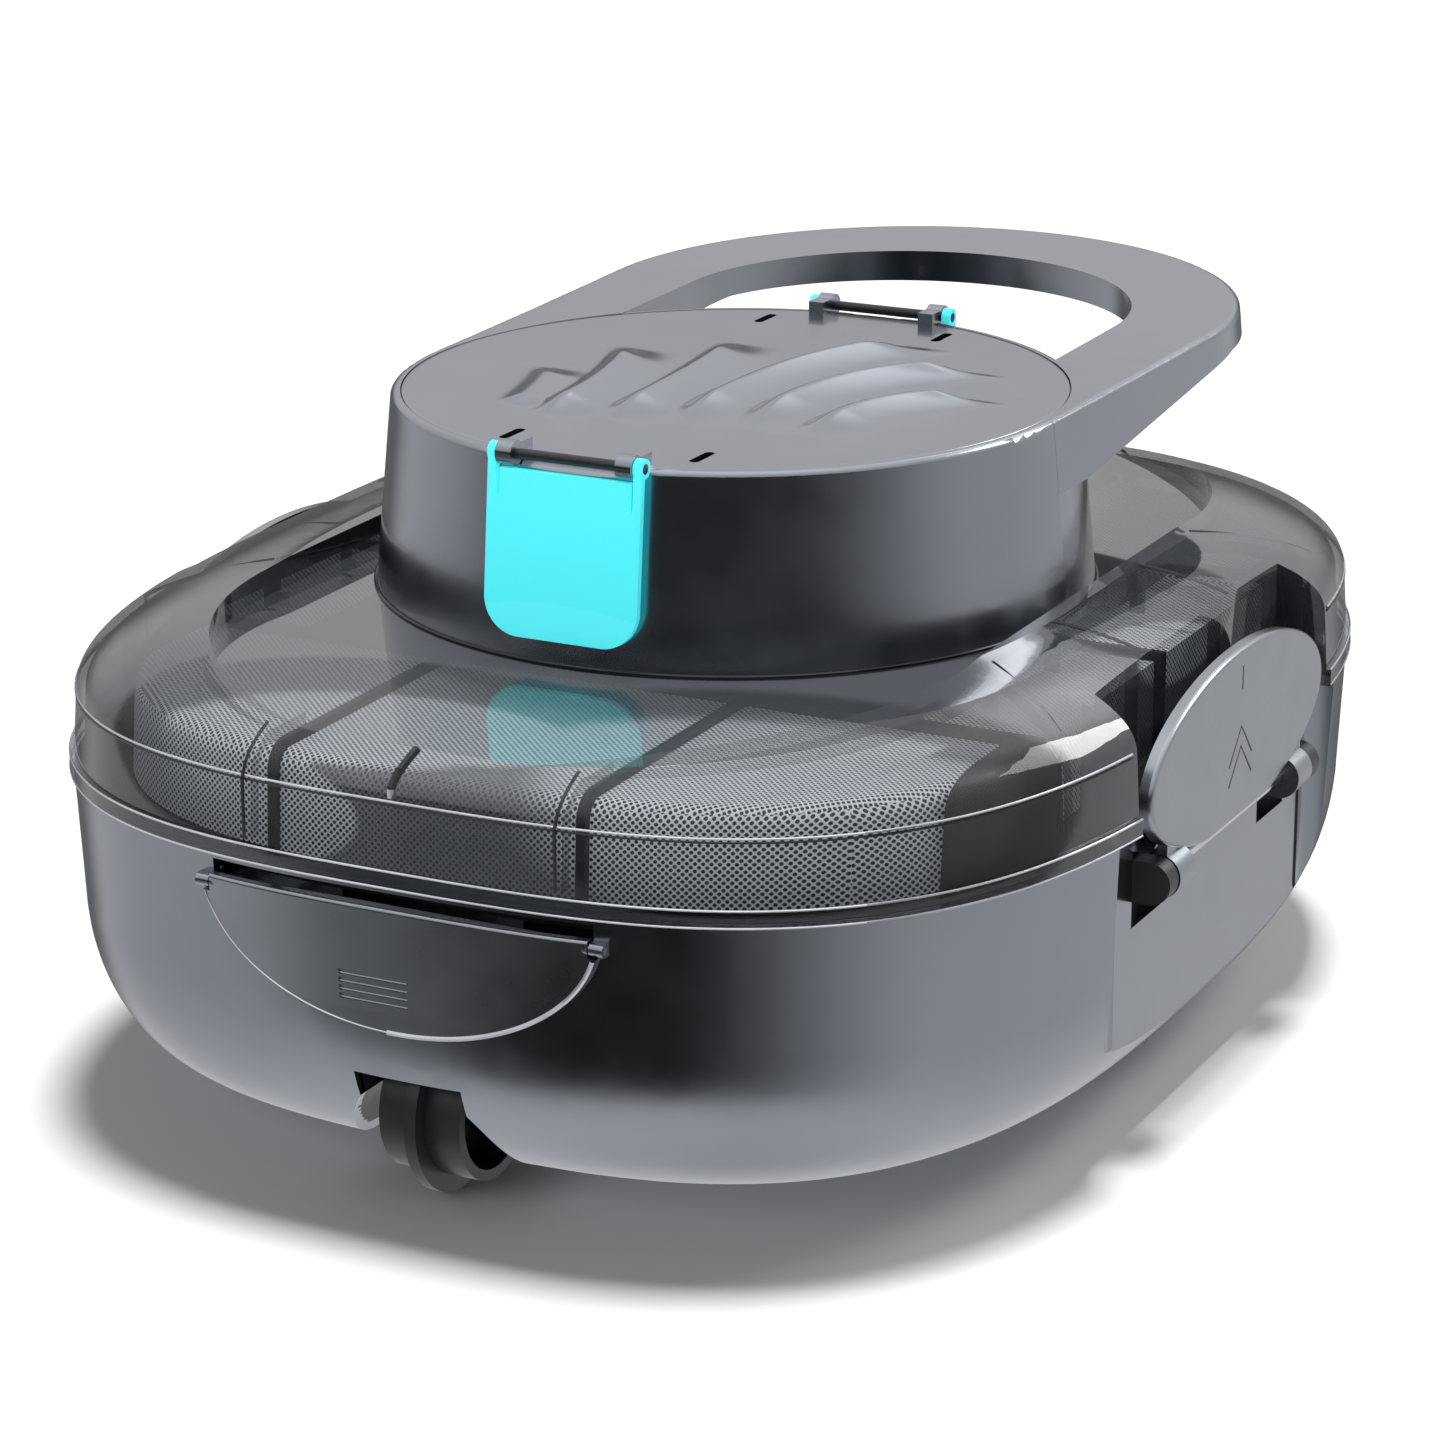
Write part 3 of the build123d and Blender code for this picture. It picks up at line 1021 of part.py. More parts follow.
def filter_parts():
    """Basket frame and its four mesh panels."""
    room = filter_volume(FILTER_WALL)
    frame = filter_volume(0) - room
    for tool in filter_windows():
        frame -= tool
    hole = bar_z(FILTER_HOLE_RADIUS, (FILTER_FOOT_Z, DECK_Z), 0, 0)
    collar_z = (FILTER_TOP_Z - FILTER_WALL, DISC_Z)
    frame += bar_z(FILTER_HOLE_RADIUS + FILTER_COLLAR_WALL, collar_z, 0, 0)
    frame -= hole
    skin = room - filter_volume(FILTER_WALL + MESH_THICKNESS)
    skin_z = (FILTER_FOOT_Z + FILTER_SILL + MESH_THICKNESS, FILTER_TOP_Z)
    skin &= block((-REACH, REACH), (-REACH, REACH), skin_z)
    skin -= hole
    front = skin & block((-REACH, REACH), (-REACH, -MESH_END_Y), skin_z)
    right = skin & block((MESH_SIDE_X, REACH), (-MESH_SIDE_HALF_Y, MESH_SIDE_HALF_Y), skin_z)
    return frame, front, flip_y(front), right, flip_x(right)


# ---- Assembly -----------------------------------------------------------------------------
def main():
    write("hull_shell", hull_shell())
    for node, housing in well_housings().items():
        write(node, housing)
    front_wheel = centre_wheel()
    right_wheel = side_wheel()
    write("front_wheel", front_wheel)
    write("rear_wheel", flip_y(front_wheel))
    write("side_wheel_right", right_wheel)
    write("side_wheel_left", flip_x(right_wheel))
    centre_axles, side_axles = wheel_axles()
    write("centre_wheel_axles", *centre_axles)
    write("side_wheel_axles", *side_axles)

    throat, lip, inlet_flap, inlet_pins = inlet_parts()
    write("inlet_throat", throat)
    write("inlet_lip", lip)
    write("inlet_flap_rear", inlet_flap)
    write("inlet_flap_front", flip_y(inlet_flap))
    write("inlet_pins", *inlet_pins)
    write("drain_flap", drain_flap())
    pin_x = (-DRAIN_EAR_X[1], DRAIN_EAR_X[1])
    write("drain_flap_pin", bar_x(DRAIN_PIN_RADIUS, pin_x, DRAIN_AXIS_Y, DRAIN_AXIS_Z))

    latch = latch_plate()
    latch_rod, brackets = latch_hardware()
    write("latch_right", latch)
    write("latch_left", flip_x(latch))
    write("latch_rod_right", latch_rod)
    write("latch_rod_left", flip_x(latch_rod))
    write("latch_brackets", *brackets, *[flip_x(bracket) for bracket in brackets])

    write("top_cover", top_cover())
    write("cover_seals", *cover_seals())
    write("turret_housing", turret_housing())
    write("deck_plate", deck_plate())
    flap = jet_flap()
    jet_rod, lugs = jet_hardware()
    duct = nozzle()
    write("jet_flap_front", flap)
    write("jet_flap_rear", flip_y(flap))
    write("jet_flap_rods", jet_rod, flip_y(jet_rod))
    write("jet_flap_lugs", *lugs, *[flip_y(lug) for lug in lugs])
    write("nozzle_front", duct)
    write("nozzle_rear", flip_y(duct))

    pod, lid, ring, board = pod_parts()
    front_motor = motor()
    shaft = motor_shaft()
    front_prop = propeller() - shaft
    seal = shaft_seal()
    write("drive_pod", pod)
    write("pod_lid", lid)
    write("support_ring", ring)
    write("control_board", board)
    write("battery_cells", *battery_cells())
    write("motor_front", front_motor)
    write("motor_rear", flip_y(front_motor))
    write("motor_shaft_front", shaft)
    write("motor_shaft_rear", flip_y(shaft))
    write("propeller_front", front_prop)
    write("propeller_rear", flip_y(front_prop))
    write("shaft_seals", seal, flip_y(seal))

    button, cup = power_button()
    write("power_button", button)
    write("button_cup", cup)
    socket, contacts, plug, plug_pin, plug_ears = charge_port()
    write("charge_socket", socket)
    write("charge_contacts", *contacts)
    write("charge_plug", plug)
    write("charge_plug_pin", plug_pin)
    write("charge_plug_ears", *plug_ears)

    frame, mesh_front, mesh_rear, mesh_right, mesh_left = filter_parts()
    write("filter_frame", frame)
    write("filter_mesh_front", mesh_front)
    write("filter_mesh_rear", mesh_rear)
    write("filter_mesh_right", mesh_right)
    write("filter_mesh_left", mesh_left)
    write("pod_screws", *pod_screws())


main()
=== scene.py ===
"""The pool cleaner's looks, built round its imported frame.

Lengths are in metres, apart from tables that say millimetres; MM turns those into metres.
Places "about the turret" are measured from its upright axis.
"""
import json
from math import cos, hypot, pi, radians, sin

import bpy
import numpy as np
from mathutils import Matrix, Vector


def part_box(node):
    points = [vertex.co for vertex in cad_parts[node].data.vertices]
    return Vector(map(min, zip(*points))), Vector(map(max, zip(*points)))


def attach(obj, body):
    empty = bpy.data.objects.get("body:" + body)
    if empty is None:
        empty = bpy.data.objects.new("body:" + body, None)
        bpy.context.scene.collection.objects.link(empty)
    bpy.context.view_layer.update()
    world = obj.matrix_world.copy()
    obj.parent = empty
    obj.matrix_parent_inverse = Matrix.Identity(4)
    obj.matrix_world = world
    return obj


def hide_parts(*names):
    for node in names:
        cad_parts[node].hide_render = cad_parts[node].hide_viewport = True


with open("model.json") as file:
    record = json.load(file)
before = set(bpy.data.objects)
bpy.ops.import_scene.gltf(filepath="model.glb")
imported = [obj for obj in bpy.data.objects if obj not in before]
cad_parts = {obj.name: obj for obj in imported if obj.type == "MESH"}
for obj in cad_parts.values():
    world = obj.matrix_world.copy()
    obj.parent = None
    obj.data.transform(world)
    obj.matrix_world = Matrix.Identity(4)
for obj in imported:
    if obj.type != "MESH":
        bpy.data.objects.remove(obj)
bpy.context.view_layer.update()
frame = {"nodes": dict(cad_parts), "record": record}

MM = 0.001
NODES = frame["nodes"]
SMOOTH_ANGLE = radians(28)     # edges sharper than this stay sharp


# ---- Shader helpers -----------------------------------------------------------------------
def material(name, **sockets):
    """New Principled material, with plain values set on the shader's own sockets."""
    made = bpy.data.materials.new(name)
    made.use_nodes = True
    shader = made.node_tree.nodes["Principled BSDF"]
    for socket, value in sockets.items():
        shader.inputs[socket.replace("_", " ")].default_value = value
    return made, made.node_tree, shader


def place(tree):
    """The object's own coordinates, in metres."""
    return tree.nodes.new("ShaderNodeTexCoord").outputs["Object"]


def axes_of(tree, vector):
    """The X, Y and Z outputs of a vector."""
    split = tree.nodes.new("ShaderNodeSeparateXYZ")
    tree.links.new(vector, split.inputs["Vector"])
    return split.outputs


def noise(tree, scale, detail=2.0, stretch=(1, 1, 1)):
    """Noise over the object's own coordinates; scale is in cycles per metre."""
    mapping = tree.nodes.new("ShaderNodeMapping")
    mapping.inputs["Scale"].default_value = stretch
    texture = tree.nodes.new("ShaderNodeTexNoise")
    texture.inputs["Scale"].default_value = scale
    texture.inputs["Detail"].default_value = detail
    tree.links.new(place(tree), mapping.inputs["Vector"])
    tree.links.new(mapping.outputs["Vector"], texture.inputs["Vector"])
    return texture.outputs["Fac"]


def calc(tree, operation, first, second=None):
    """One Math node; either input may be a number or another node's output."""
    node = tree.nodes.new("ShaderNodeMath")
    node.operation = operation
    for socket, value in zip(node.inputs, (first, second)):
        if isinstance(value, (int, float)):
            socket.default_value = value
        elif value is not None:
            tree.links.new(value, socket)
    return node.outputs["Value"]


def span(tree, source, low, high, to_low=0.0, to_high=1.0, smooth=False):
    """Map a value from one range to another, clamped."""
    node = tree.nodes.new("ShaderNodeMapRange")
    node.interpolation_type = "SMOOTHSTEP" if smooth else "LINEAR"
    values = (low, high, to_low, to_high)
    for socket, value in zip(("From Min", "From Max", "To Min", "To Max"), values):
        node.inputs[socket].default_value = value
    tree.links.new(source, node.inputs["Value"])
    return node.outputs["Result"]


def blend_colours(tree, source, target, first, second, low=0.35, high=0.65):
    """Drive a colour socket between two colours as the source rises from low to high."""
    ramp = tree.nodes.new("ShaderNodeValToRGB")
    start, end = ramp.color_ramp.elements
    start.position, start.color = low, (*first, 1)
    end.position, end.color = high, (*second, 1)
    tree.links.new(source, ramp.inputs["Fac"])
    tree.links.new(ramp.outputs["Color"], target)


def uneven_gloss(tree, shader, texture, rough):
    """Let the roughness wander between two values as a noise texture does."""
    tree.links.new(span(tree, texture, 0.3, 0.7, *rough), shader.inputs["Roughness"])


def bump(tree, shader, source, height):
    """Fine relief from a texture; height is in metres."""
    node = tree.nodes.new("ShaderNodeBump")
    node.inputs["Distance"].default_value = height
    node.inputs["Strength"].default_value = 1.0
    tree.links.new(source, node.inputs["Height"])
    tree.links.new(node.outputs["Normal"], shader.inputs["Normal"])


# ---- Materials ----------------------------------------------------------------------------
# Share of light stopped by the cover's outer face, face on and at a slant
CLEAR_ALPHA = (0.16, 0.7)
HAZY_ALPHA = (0.8, 0.97)
# Centre and half size, in millimetres, of each patch where the cover is clearest
CLEAR_PATCHES = (
    ((-62, -194, 125), (38, 42, 26)),
    ((-25, -171, 131), (66, 40, 12)),
    ((-5, -187, 126), (60, 16, 14)),
    ((-35, -200, 112), (26, 30, 14)),
    ((94, -160, 116), (100, 60, 30)),
    ((132, -13, 136), (26, 44, 20)),
)
WEAVE_PITCH = 2.0 * MM
WEAVE_RELIEF = 0.15 * MM
WEAVE_PAINTED_LIGHT = 0.16              # painted light: the threads glow to stand in for light that the lamps don't give them
HOLE_EDGE = (0.34, 0.56)       # where a thread ends and a hole begins
THREAD = (0.6, 0.635, 0.68)
# Colour of the threads' painted light
THREAD_PAINTED_LIGHT = (0.55, 0.6, 0.66)
# Painted shade: the dark inside that shows through each hole
HOLE_SHADE = (0.025, 0.028, 0.034)
FLAP_UPPER = (0.075, 0.8, 0.86)
FLAP_LOWER = (0.12, 0.9, 0.95)
# Painted light: the flaps glow to stand in for light that the lamps don't give them
FLAP_PAINTED_LIGHT = (0.07, 0.75, 0.82, 1)
FLAP_PAINTED_LIGHT_STRENGTH = 0.62
BAND_SHARE = 0.2               # height of the flap's lighter band, as a share of the flap
BAND_CURVE = 4.0               # how fast the band's upper line falls towards the sides
BAND_BLUR = 0.2 * MM

# Both greys are a metallic plastic under a thin gloss. Each row gives the material's name,
# two colours it drifts between, its roughness range, its grain in cycles per metre and the
# grain's relief in millimetres
METALLIC_GREY = dict(Metallic=1.0, Coat_Weight=0.6, Coat_Roughness=0.06)
GREYS = {
    "body_grey": (
        "body_plastic", (0.30, 0.325, 0.365), (0.33, 0.355, 0.395), (0.2, 0.26), 1500, 0.001),
    "latch_grey": (
        "latch_plastic", (0.33, 0.355, 0.39), (0.36, 0.385, 0.42), (0.26, 0.32), 1500, 0.001),
}
PLASTICS = {
    "dark_plastic": (
        "dark_plastic", (0.018, 0.019, 0.022), (0.026, 0.027, 0.031), (0.3, 0.4), 1200, 0.003),
    "black_rubber": (
        "black_rubber", (0.012, 0.012, 0.013), (0.02, 0.02, 0.022), (0.5, 0.65), 1500, 0.01),
    "cell_wrap": (
        "cell_wrap", (0.03, 0.12, 0.3), (0.04, 0.15, 0.36), (0.25, 0.35), 500, 0.004),
    "board_green": (
        "board_green", (0.01, 0.1, 0.04), (0.02, 0.14, 0.06), (0.4, 0.5), 400, 0.01),
}
# Name, two colours, roughness range and the stretch of the drawn lines along X, Y and Z
METALS = {
    "bright_rod": (
        "bright_rod", (0.72, 0.73, 0.76), (0.82, 0.83, 0.85), (0.08, 0.16), (8, 0.3, 8)),
    "motor_steel": (
        "motor_steel", (0.4, 0.4, 0.41), (0.5, 0.5, 0.51), (0.3, 0.45), (1, 12, 1)),
    "brass_contact": (
        "brass_contact", (0.7, 0.5, 0.2), (0.8, 0.6, 0.28), (0.2, 0.3), (1, 1, 1)),
}


def plastic(name, first, second, rough, grain, relief, **sockets):
    """Moulded plastic: slight colour drift, uneven gloss and a fine moulded grain."""
    made, tree, shader = material(name, **sockets)
    blend_colours(tree, noise(tree, 9), shader.inputs["Base Color"], first, second)
    uneven_gloss(tree, shader, noise(tree, 60, 4), rough)
    bump(tree, shader, noise(tree, grain, 1), relief * MM)
    return made


def metal(name, first, second, rough, stretch):
    """Bright metal with fine drawn lines."""
    made, tree, shader = material(name, Metallic=1.0)
    blend_colours(tree, noise(tree, 40), shader.inputs["Base Color"], first, second)
    uneven_gloss(tree, shader, noise(tree, 300, 3, stretch), rough)
    return made


def silicone():
    """Cyan silicone of the jet flaps, a shade lighter below a curved line near the foot, and
    glowing with painted light.
    """
    made, tree, shader = material(
        "cyan_silicone", Specular_IOR_Level=0.35,
        Emission_Color=FLAP_PAINTED_LIGHT, Emission_Strength=FLAP_PAINTED_LIGHT_STRENGTH,
    )
    axes = axes_of(tree, place(tree))
    sag = calc(tree, "MULTIPLY", calc(tree, "POWER", axes["X"], 2.0), -BAND_CURVE)
    level = calc(tree, "SUBTRACT", axes["Z"], sag)
    low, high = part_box("jet_flap_front")
    band_top = low.z + BAND_SHARE * (high.z - low.z)
    below = span(tree, level, band_top - BAND_BLUR, band_top + BAND_BLUR, 1.0, 0.0)
    grain = calc(tree, "MULTIPLY", noise(tree, 900, 2), 0.12)
    target = shader.inputs["Base Color"]
    blend_colours(tree, calc(tree, "ADD", below, grain), target, FLAP_UPPER, FLAP_LOWER, 0.0, 1.0)
    uneven_gloss(tree, shader, noise(tree, 80, 3), (0.38, 0.5))
    bump(tree, shader, noise(tree, 1500, 1), 0.004 * MM)
    return made


def clear_patches(tree):
    """One inside the patches where the cover is seen through, nought where it is hazy."""
    total = None
    for centre, radii in CLEAR_PATCHES:
        mapping = tree.nodes.new("ShaderNodeMapping")
        mapping.vector_type = "TEXTURE"
        mapping.inputs["Location"].default_value = [value * MM for value in centre]
        mapping.inputs["Scale"].default_value = [value * MM for value in radii]
        tree.links.new(place(tree), mapping.inputs["Vector"])
        length = tree.nodes.new("ShaderNodeVectorMath")
        length.operation = "LENGTH"
        tree.links.new(mapping.outputs["Vector"], length.inputs[0])
        inside = span(tree, length.outputs["Value"], 0.92, 1.04, 1.0, 0.0, True)
        total = inside if total is None else calc(tree, "MAXIMUM", total, inside)
    return total


def smoked_clear():
    """Clear smoked plastic of the cover: see-through face on, glossier at a slant.

    Only faces that light enters by stop it, so the cover's thickness isn't counted twice.
    """
    made, tree, shader = material("clear_smoke", IOR=1.6, Coat_Weight=0.8, Coat_Roughness=0.02)
    target = shader.inputs["Base Color"]
    blend_colours(tree, noise(tree, 12), target, (0.03, 0.034, 0.041), (0.038, 0.043, 0.051))
    slant = tree.nodes.new("ShaderNodeLayerWeight")
    slant.inputs["Blend"].default_value = 0.35
    clear = span(tree, slant.outputs["Facing"], 0.0, 1.0, *CLEAR_ALPHA)
    hazy = span(tree, slant.outputs["Facing"], 0.0, 1.0, *HAZY_ALPHA)
    share = calc(tree, "MULTIPLY", calc(tree, "SUBTRACT", clear, hazy), clear_patches(tree))
    alpha = calc(tree, "ADD", hazy, share)
    leaving = tree.nodes.new("ShaderNodeNewGeometry").outputs["Backfacing"]
    entering = calc(tree, "SUBTRACT", 1.0, leaving)
    tree.links.new(calc(tree, "MULTIPLY", alpha, entering), shader.inputs["Alpha"])
    uneven_gloss(tree, shader, noise(tree, 30, 3), (0.02, 0.05))
    return made


def cloth_plane(tree):
    """Coordinates across and along the cloth, for the way that each of its faces looks."""
    axes = axes_of(tree, place(tree))
    normal = axes_of(tree, tree.nodes.new("ShaderNodeTexCoord").outputs["Normal"])
    tilt, side_x, side_y = (calc(tree, "ABSOLUTE", normal[axis]) for axis in "ZXY")
    upright = calc(tree, "LESS_THAN", tilt, 0.7)
    sideways = calc(tree, "MULTIPLY", upright, calc(tree, "GREATER_THAN", side_x, side_y))
    forwards = calc(tree, "SUBTRACT", upright, sideways)
    flat = calc(tree, "SUBTRACT", 1.0, upright)
    chosen = []
    for on_flat, on_side, on_front in ("XYX", "YZZ"):
        total = calc(tree, "MULTIPLY", flat, axes[on_flat])
        for mask, axis in ((sideways, on_side), (forwards, on_front)):
            total = calc(tree, "ADD", total, calc(tree, "MULTIPLY", mask, axes[axis]))
        chosen.append(total)
    return chosen


def woven_mesh():
    """Fine woven filter cloth: pale threads over and under, glowing with painted light, with
    painted shade in the hole between them.
    """
    made, tree, shader = material(
        "mesh_cloth", Specular_IOR_Level=0.3, Emission_Strength=WEAVE_PAINTED_LIGHT)
    across, along = cloth_plane(tree)
    waves = []
    for sign in ("ADD", "SUBTRACT"):
        diagonal = calc(tree, "MULTIPLY", calc(tree, sign, across, along), pi / WEAVE_PITCH)
        waves.append(calc(tree, "ABSOLUTE", calc(tree, "SINE", diagonal)))
    holes = calc(tree, "MULTIPLY", *waves)
    blend_colours(tree, holes, shader.inputs["Base Color"], THREAD, HOLE_SHADE, *HOLE_EDGE)
    painted_light_colour = shader.inputs["Emission Color"]
    blend_colours(tree, holes, painted_light_colour, THREAD_PAINTED_LIGHT, (0, 0, 0), *HOLE_EDGE)
    uneven_gloss(tree, shader, noise(tree, 200, 3), (0.5, 0.65))
    bump(tree, shader, calc(tree, "SUBTRACT", 1.0, holes), WEAVE_RELIEF)
    return made


MATERIAL_OF_SLOT = {
    "clear_smoke": smoked_clear(),
    "cyan_silicone": silicone(),
    "mesh_cloth": woven_mesh(),
    **{slot: plastic(*row, **METALLIC_GREY) for slot, row in GREYS.items()},
    **{slot: plastic(*row) for slot, row in PLASTICS.items()},
    **{slot: metal(*row) for slot, row in METALS.items()},
}


def dress_cad():
    """Give every CAD node its material and smooth shading between its real edges."""
    for part in frame["record"]["subparts"]:
        piece = NODES[part["node"]]
        piece.data.materials.clear()
        piece.data.materials.append(MATERIAL_OF_SLOT[part["material_slot"]])
        piece.data.polygons.foreach_set("use_smooth", [True] * len(piece.data.polygons))
        piece.data.set_sharp_from_angle(angle=SMOOTH_ANGLE)


dress_cad()
NODES["jet_flap_rear"].visible_glossy = False   # no cyan stain in the handle's gloss


# ---- Mesh helpers -------------------------------------------------------------------------
def mesh_of(name, vertices, faces, smooth=True):
    """Mesh from points in metres, smooth between its sharp edges or else all flat."""
    mesh = bpy.data.meshes.new(name)
    mesh.from_pydata(vertices, [], faces)
    mesh.update()
    if smooth:
        mesh.polygons.foreach_set("use_smooth", [True] * len(faces))
        mesh.set_sharp_from_angle(angle=SMOOTH_ANGLE)
    return mesh


def add(name, data):
    """New object in the scene that shows a mesh, a light or a camera."""
    made = bpy.data.objects.new(name, data)
    bpy.context.collection.objects.link(made)
    return made


def link(name, mesh, slot):
    """Put a mesh in the scene as a piece with the finish of a material slot."""
    piece = add(name, mesh)
    mesh.materials.append(MATERIAL_OF_SLOT[slot])
    return piece


def loop_walls(count):
    """Side faces between two rings of points, each ring given in one run."""
    return [(i, (i + 1) % count, count + (i + 1) % count, count + i) for i in range(count)]


def apply_modifiers(piece):
    """Bake a piece's modifiers into its mesh and delete the cutters that they used."""
    cutters = [modifier.object for modifier in piece.modifiers]
    graph = bpy.context.evaluated_depsgraph_get()
    baked = bpy.data.meshes.new_from_object(piece.evaluated_get(graph))
    piece.modifiers.clear()
    piece.data = baked
    for cutter in cutters:
        bpy.data.objects.remove(cutter)


# ---- Deck ---------------------------------------------------------------------------------
DECK_RINGS = 96
DECK_SPOKES = 480
DECK_HALF_THICKNESS = 1.5 * MM
EDGE_ROUND = 0.5 * MM
EDGE_STEPS = 3
SLOT_LENGTH = 12 * MM
SLOT_WIDTH = 3 * MM
SLOT_END_STEPS = 8
SLOT_PLACES = [(x * 30 * MM, y * 80 * MM) for x in (-1, 1) for y in (-1, 1)]
# Crest lines of the flutes about the turret, in millimetres, from front to rear
CRESTS = (
    ((-45, -52), (-49, -32), (-57, -6)),
    ((-32, -58), (-32, -41), (-35, -19), (-40, 3), (-48, 27)),
    ((-12, -54), (-13, -31), (-15, -6), (-17, 20), (-22, 46)),
    ((8, -52), (6, -25), (6, 4), (10, 30), (19, 50), (30, 65)),
    ((27, -48), (25, -24), (27, -3), (31, 14), (38, 26), (48, 35), (59, 42)),
    ((46, -47), (46, -30), (48, -16), (52, -7), (56, 1), (63, 7), (70, 12)),
)
CREST_SHARES = (0.45, 1.0, 1.0, 1.0, 1.0, 0.9)    # each crest's share of the full height
CREST_HEIGHT = 3.9             # millimetres, like the three below it
FLUTE_LEFT = 8.0               # width of a crest's steep left side
FLUTE_RIGHT = 16.0             # width of its long right side
CREST_POINTS = 60
FLUTE_RIGHT_POWER = 1.4
CREST_FADE = 0.22              # share of a crest's length that each end takes to rise


def smooth_line(points):
    """Dense line through a few points, by a parametric cubic fit."""
    points = np.array(points, float)
    steps = np.linspace(0, 1, len(points))
    dense = np.linspace(0, 1, CREST_POINTS)
    order = min(3, len(points) - 1)
    fits = [np.polyfit(steps, points[:, axis], order) for axis in (0, 1)]
    return np.stack([np.polyval(fit, dense) for fit in fits], 1)


def ease(share):
    """Slow start and slow end between nought and one."""
    share = np.clip(share, 0, 1)
    return 3 * share ** 2 - 2 * share ** 3


def flute_height(x, y):
    """Height of the fluted deck above its plane, in millimetres, at points in plan."""
    total = np.zeros_like(x)
    for points, strength in zip(CRESTS, CREST_SHARES):
        line = smooth_line(points)
        share = np.interp(y, line[:, 1], np.linspace(0, 1, CREST_POINTS), left=-1, right=2)
        ends = ease(share / CREST_FADE) * ease((1 - share) / CREST_FADE)
        off = x - np.interp(y, line[:, 1], line[:, 0])
        right = np.clip(1 - off / FLUTE_RIGHT, 0, 1) ** FLUTE_RIGHT_POWER
        left = ease(1 + off / FLUTE_LEFT)
        total += strength * ends * CREST_HEIGHT * np.where(off > 0, right, left)
    return total


def slot_cutter(x, y, low, high):
    """Round-ended upright prism, longer along Y, that opens one deck slot."""
    half, end = SLOT_WIDTH / 2, (SLOT_LENGTH - SLOT_WIDTH) / 2
    plan = []
    for side, start in ((1, 0), (-1, pi)):
        for angle in np.linspace(start, start + pi, SLOT_END_STEPS + 1):
            plan.append((x + half * cos(angle), y + side * end + half * sin(angle)))
    count = len(plan)
    vertices = [(*spot, z) for z in (low, high) for spot in plan]
    ends = [tuple(reversed(range(count))), tuple(range(count, 2 * count))]
    return add("slot_cutter", mesh_of("slot_cutter", vertices, ends + loop_walls(count), False))


def fluted_deck():
    """Deck disc with its curved flutes, rounded edge and four slots, in place of the plain one."""
    low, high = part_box("deck_plate")
    centre = (low + high) / 2
    radius = (high.x - low.x) / 2
    top = centre.z + DECK_HALF_THICKNESS
    angles = np.arange(DECK_SPOKES) * 2 * pi / DECK_SPOKES
    middle = flute_height(np.zeros(1), np.zeros(1))[0] * MM
    vertices = [(centre.x, centre.y, top + float(middle))]

    def ring(reach, heights):
        """Add one ring of points about the deck's middle."""
        x, y = centre.x + reach * np.cos(angles), centre.y + reach * np.sin(angles)
        vertices.extend(zip(x, y, np.broadcast_to(heights, DECK_SPOKES)))

    for reach in np.linspace(0, 1, DECK_RINGS + 1)[1:] * (radius - EDGE_ROUND):
        plan = reach * np.cos(angles) / MM, reach * np.sin(angles) / MM
        ring(reach, top + flute_height(*plan) * MM)
    for bend in np.linspace(0, pi / 2, EDGE_STEPS + 1)[1:]:
        ring(radius - EDGE_ROUND * (1 - sin(bend)), top - EDGE_ROUND * (1 - cos(bend)))
    ring(radius, low.z)

    rings = DECK_RINGS + EDGE_STEPS + 1
    faces = [(0, 1 + i, 1 + (i + 1) % DECK_SPOKES) for i in range(DECK_SPOKES)]
    for k in range(rings - 1):
        inner, outer = 1 + k * DECK_SPOKES, 1 + (k + 1) * DECK_SPOKES
        for i in range(DECK_SPOKES):
            j = (i + 1) % DECK_SPOKES
            faces.append((inner + i, outer + i, outer + j, inner + j))
    last = 1 + (rings - 1) * DECK_SPOKES
    faces.append(tuple(last + DECK_SPOKES - 1 - i for i in range(DECK_SPOKES)))

    deck = link("deck_fluted", mesh_of("deck_fluted", vertices, faces), "body_grey")
    for x, y in SLOT_PLACES:
        cut = deck.modifiers.new("slot", "BOOLEAN")
        cut.object = slot_cutter(centre.x + x, centre.y + y, low.z - MM, high.z + 3 * MM)
        cut.solver = "EXACT"
    apply_modifiers(deck)
    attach(deck, "upper_unit")
    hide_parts("deck_plate")


fluted_deck()


# ---- Cover lines --------------------------------------------------------------------------
# The cover's shape, as in the CAD: half sizes, the shoulder's foot and its rise, and the
# share of the plan where the shoulder is highest, in millimetres about the turret
COVER_HALF = (161.0, 198.5)
COVER_CENTRE_Y = -11.5         # the turret's axis in the scene
COVER_POWER = 3.0
COVER_EDGE_Z = 119.5
COVER_RISE = 20.5
COVER_CREST = 0.65
NOTCH_HALF = 74.5              # half length of the notch for each latch

BEAD_SIDES = 6
SHORTEST = 0.0001 * MM         # steps shorter than this are skipped
LINE_RADIUS = 0.5 * MM
RIM_RADIUS = 0.35 * MM
RIM_STEPS = 180
# Painted highlight: bright metal beads along edges stand in for the highlights that the edges catch
PAINTED_EDGE_HIGHLIGHT = metal("painted_edge_highlight", (0.62, 0.65, 0.69), (0.74, 0.77, 0.8), (0.2, 0.3), (1, 1, 1))
# Painted shade: dark beads along the ribs, the index groove, under the wall's top and round the
# turret's foot
RIB_SHADE = plastic(
    "rib_shade", (0.012, 0.013, 0.015), (0.018, 0.02, 0.023), (0.15, 0.25), 900, 0.001)
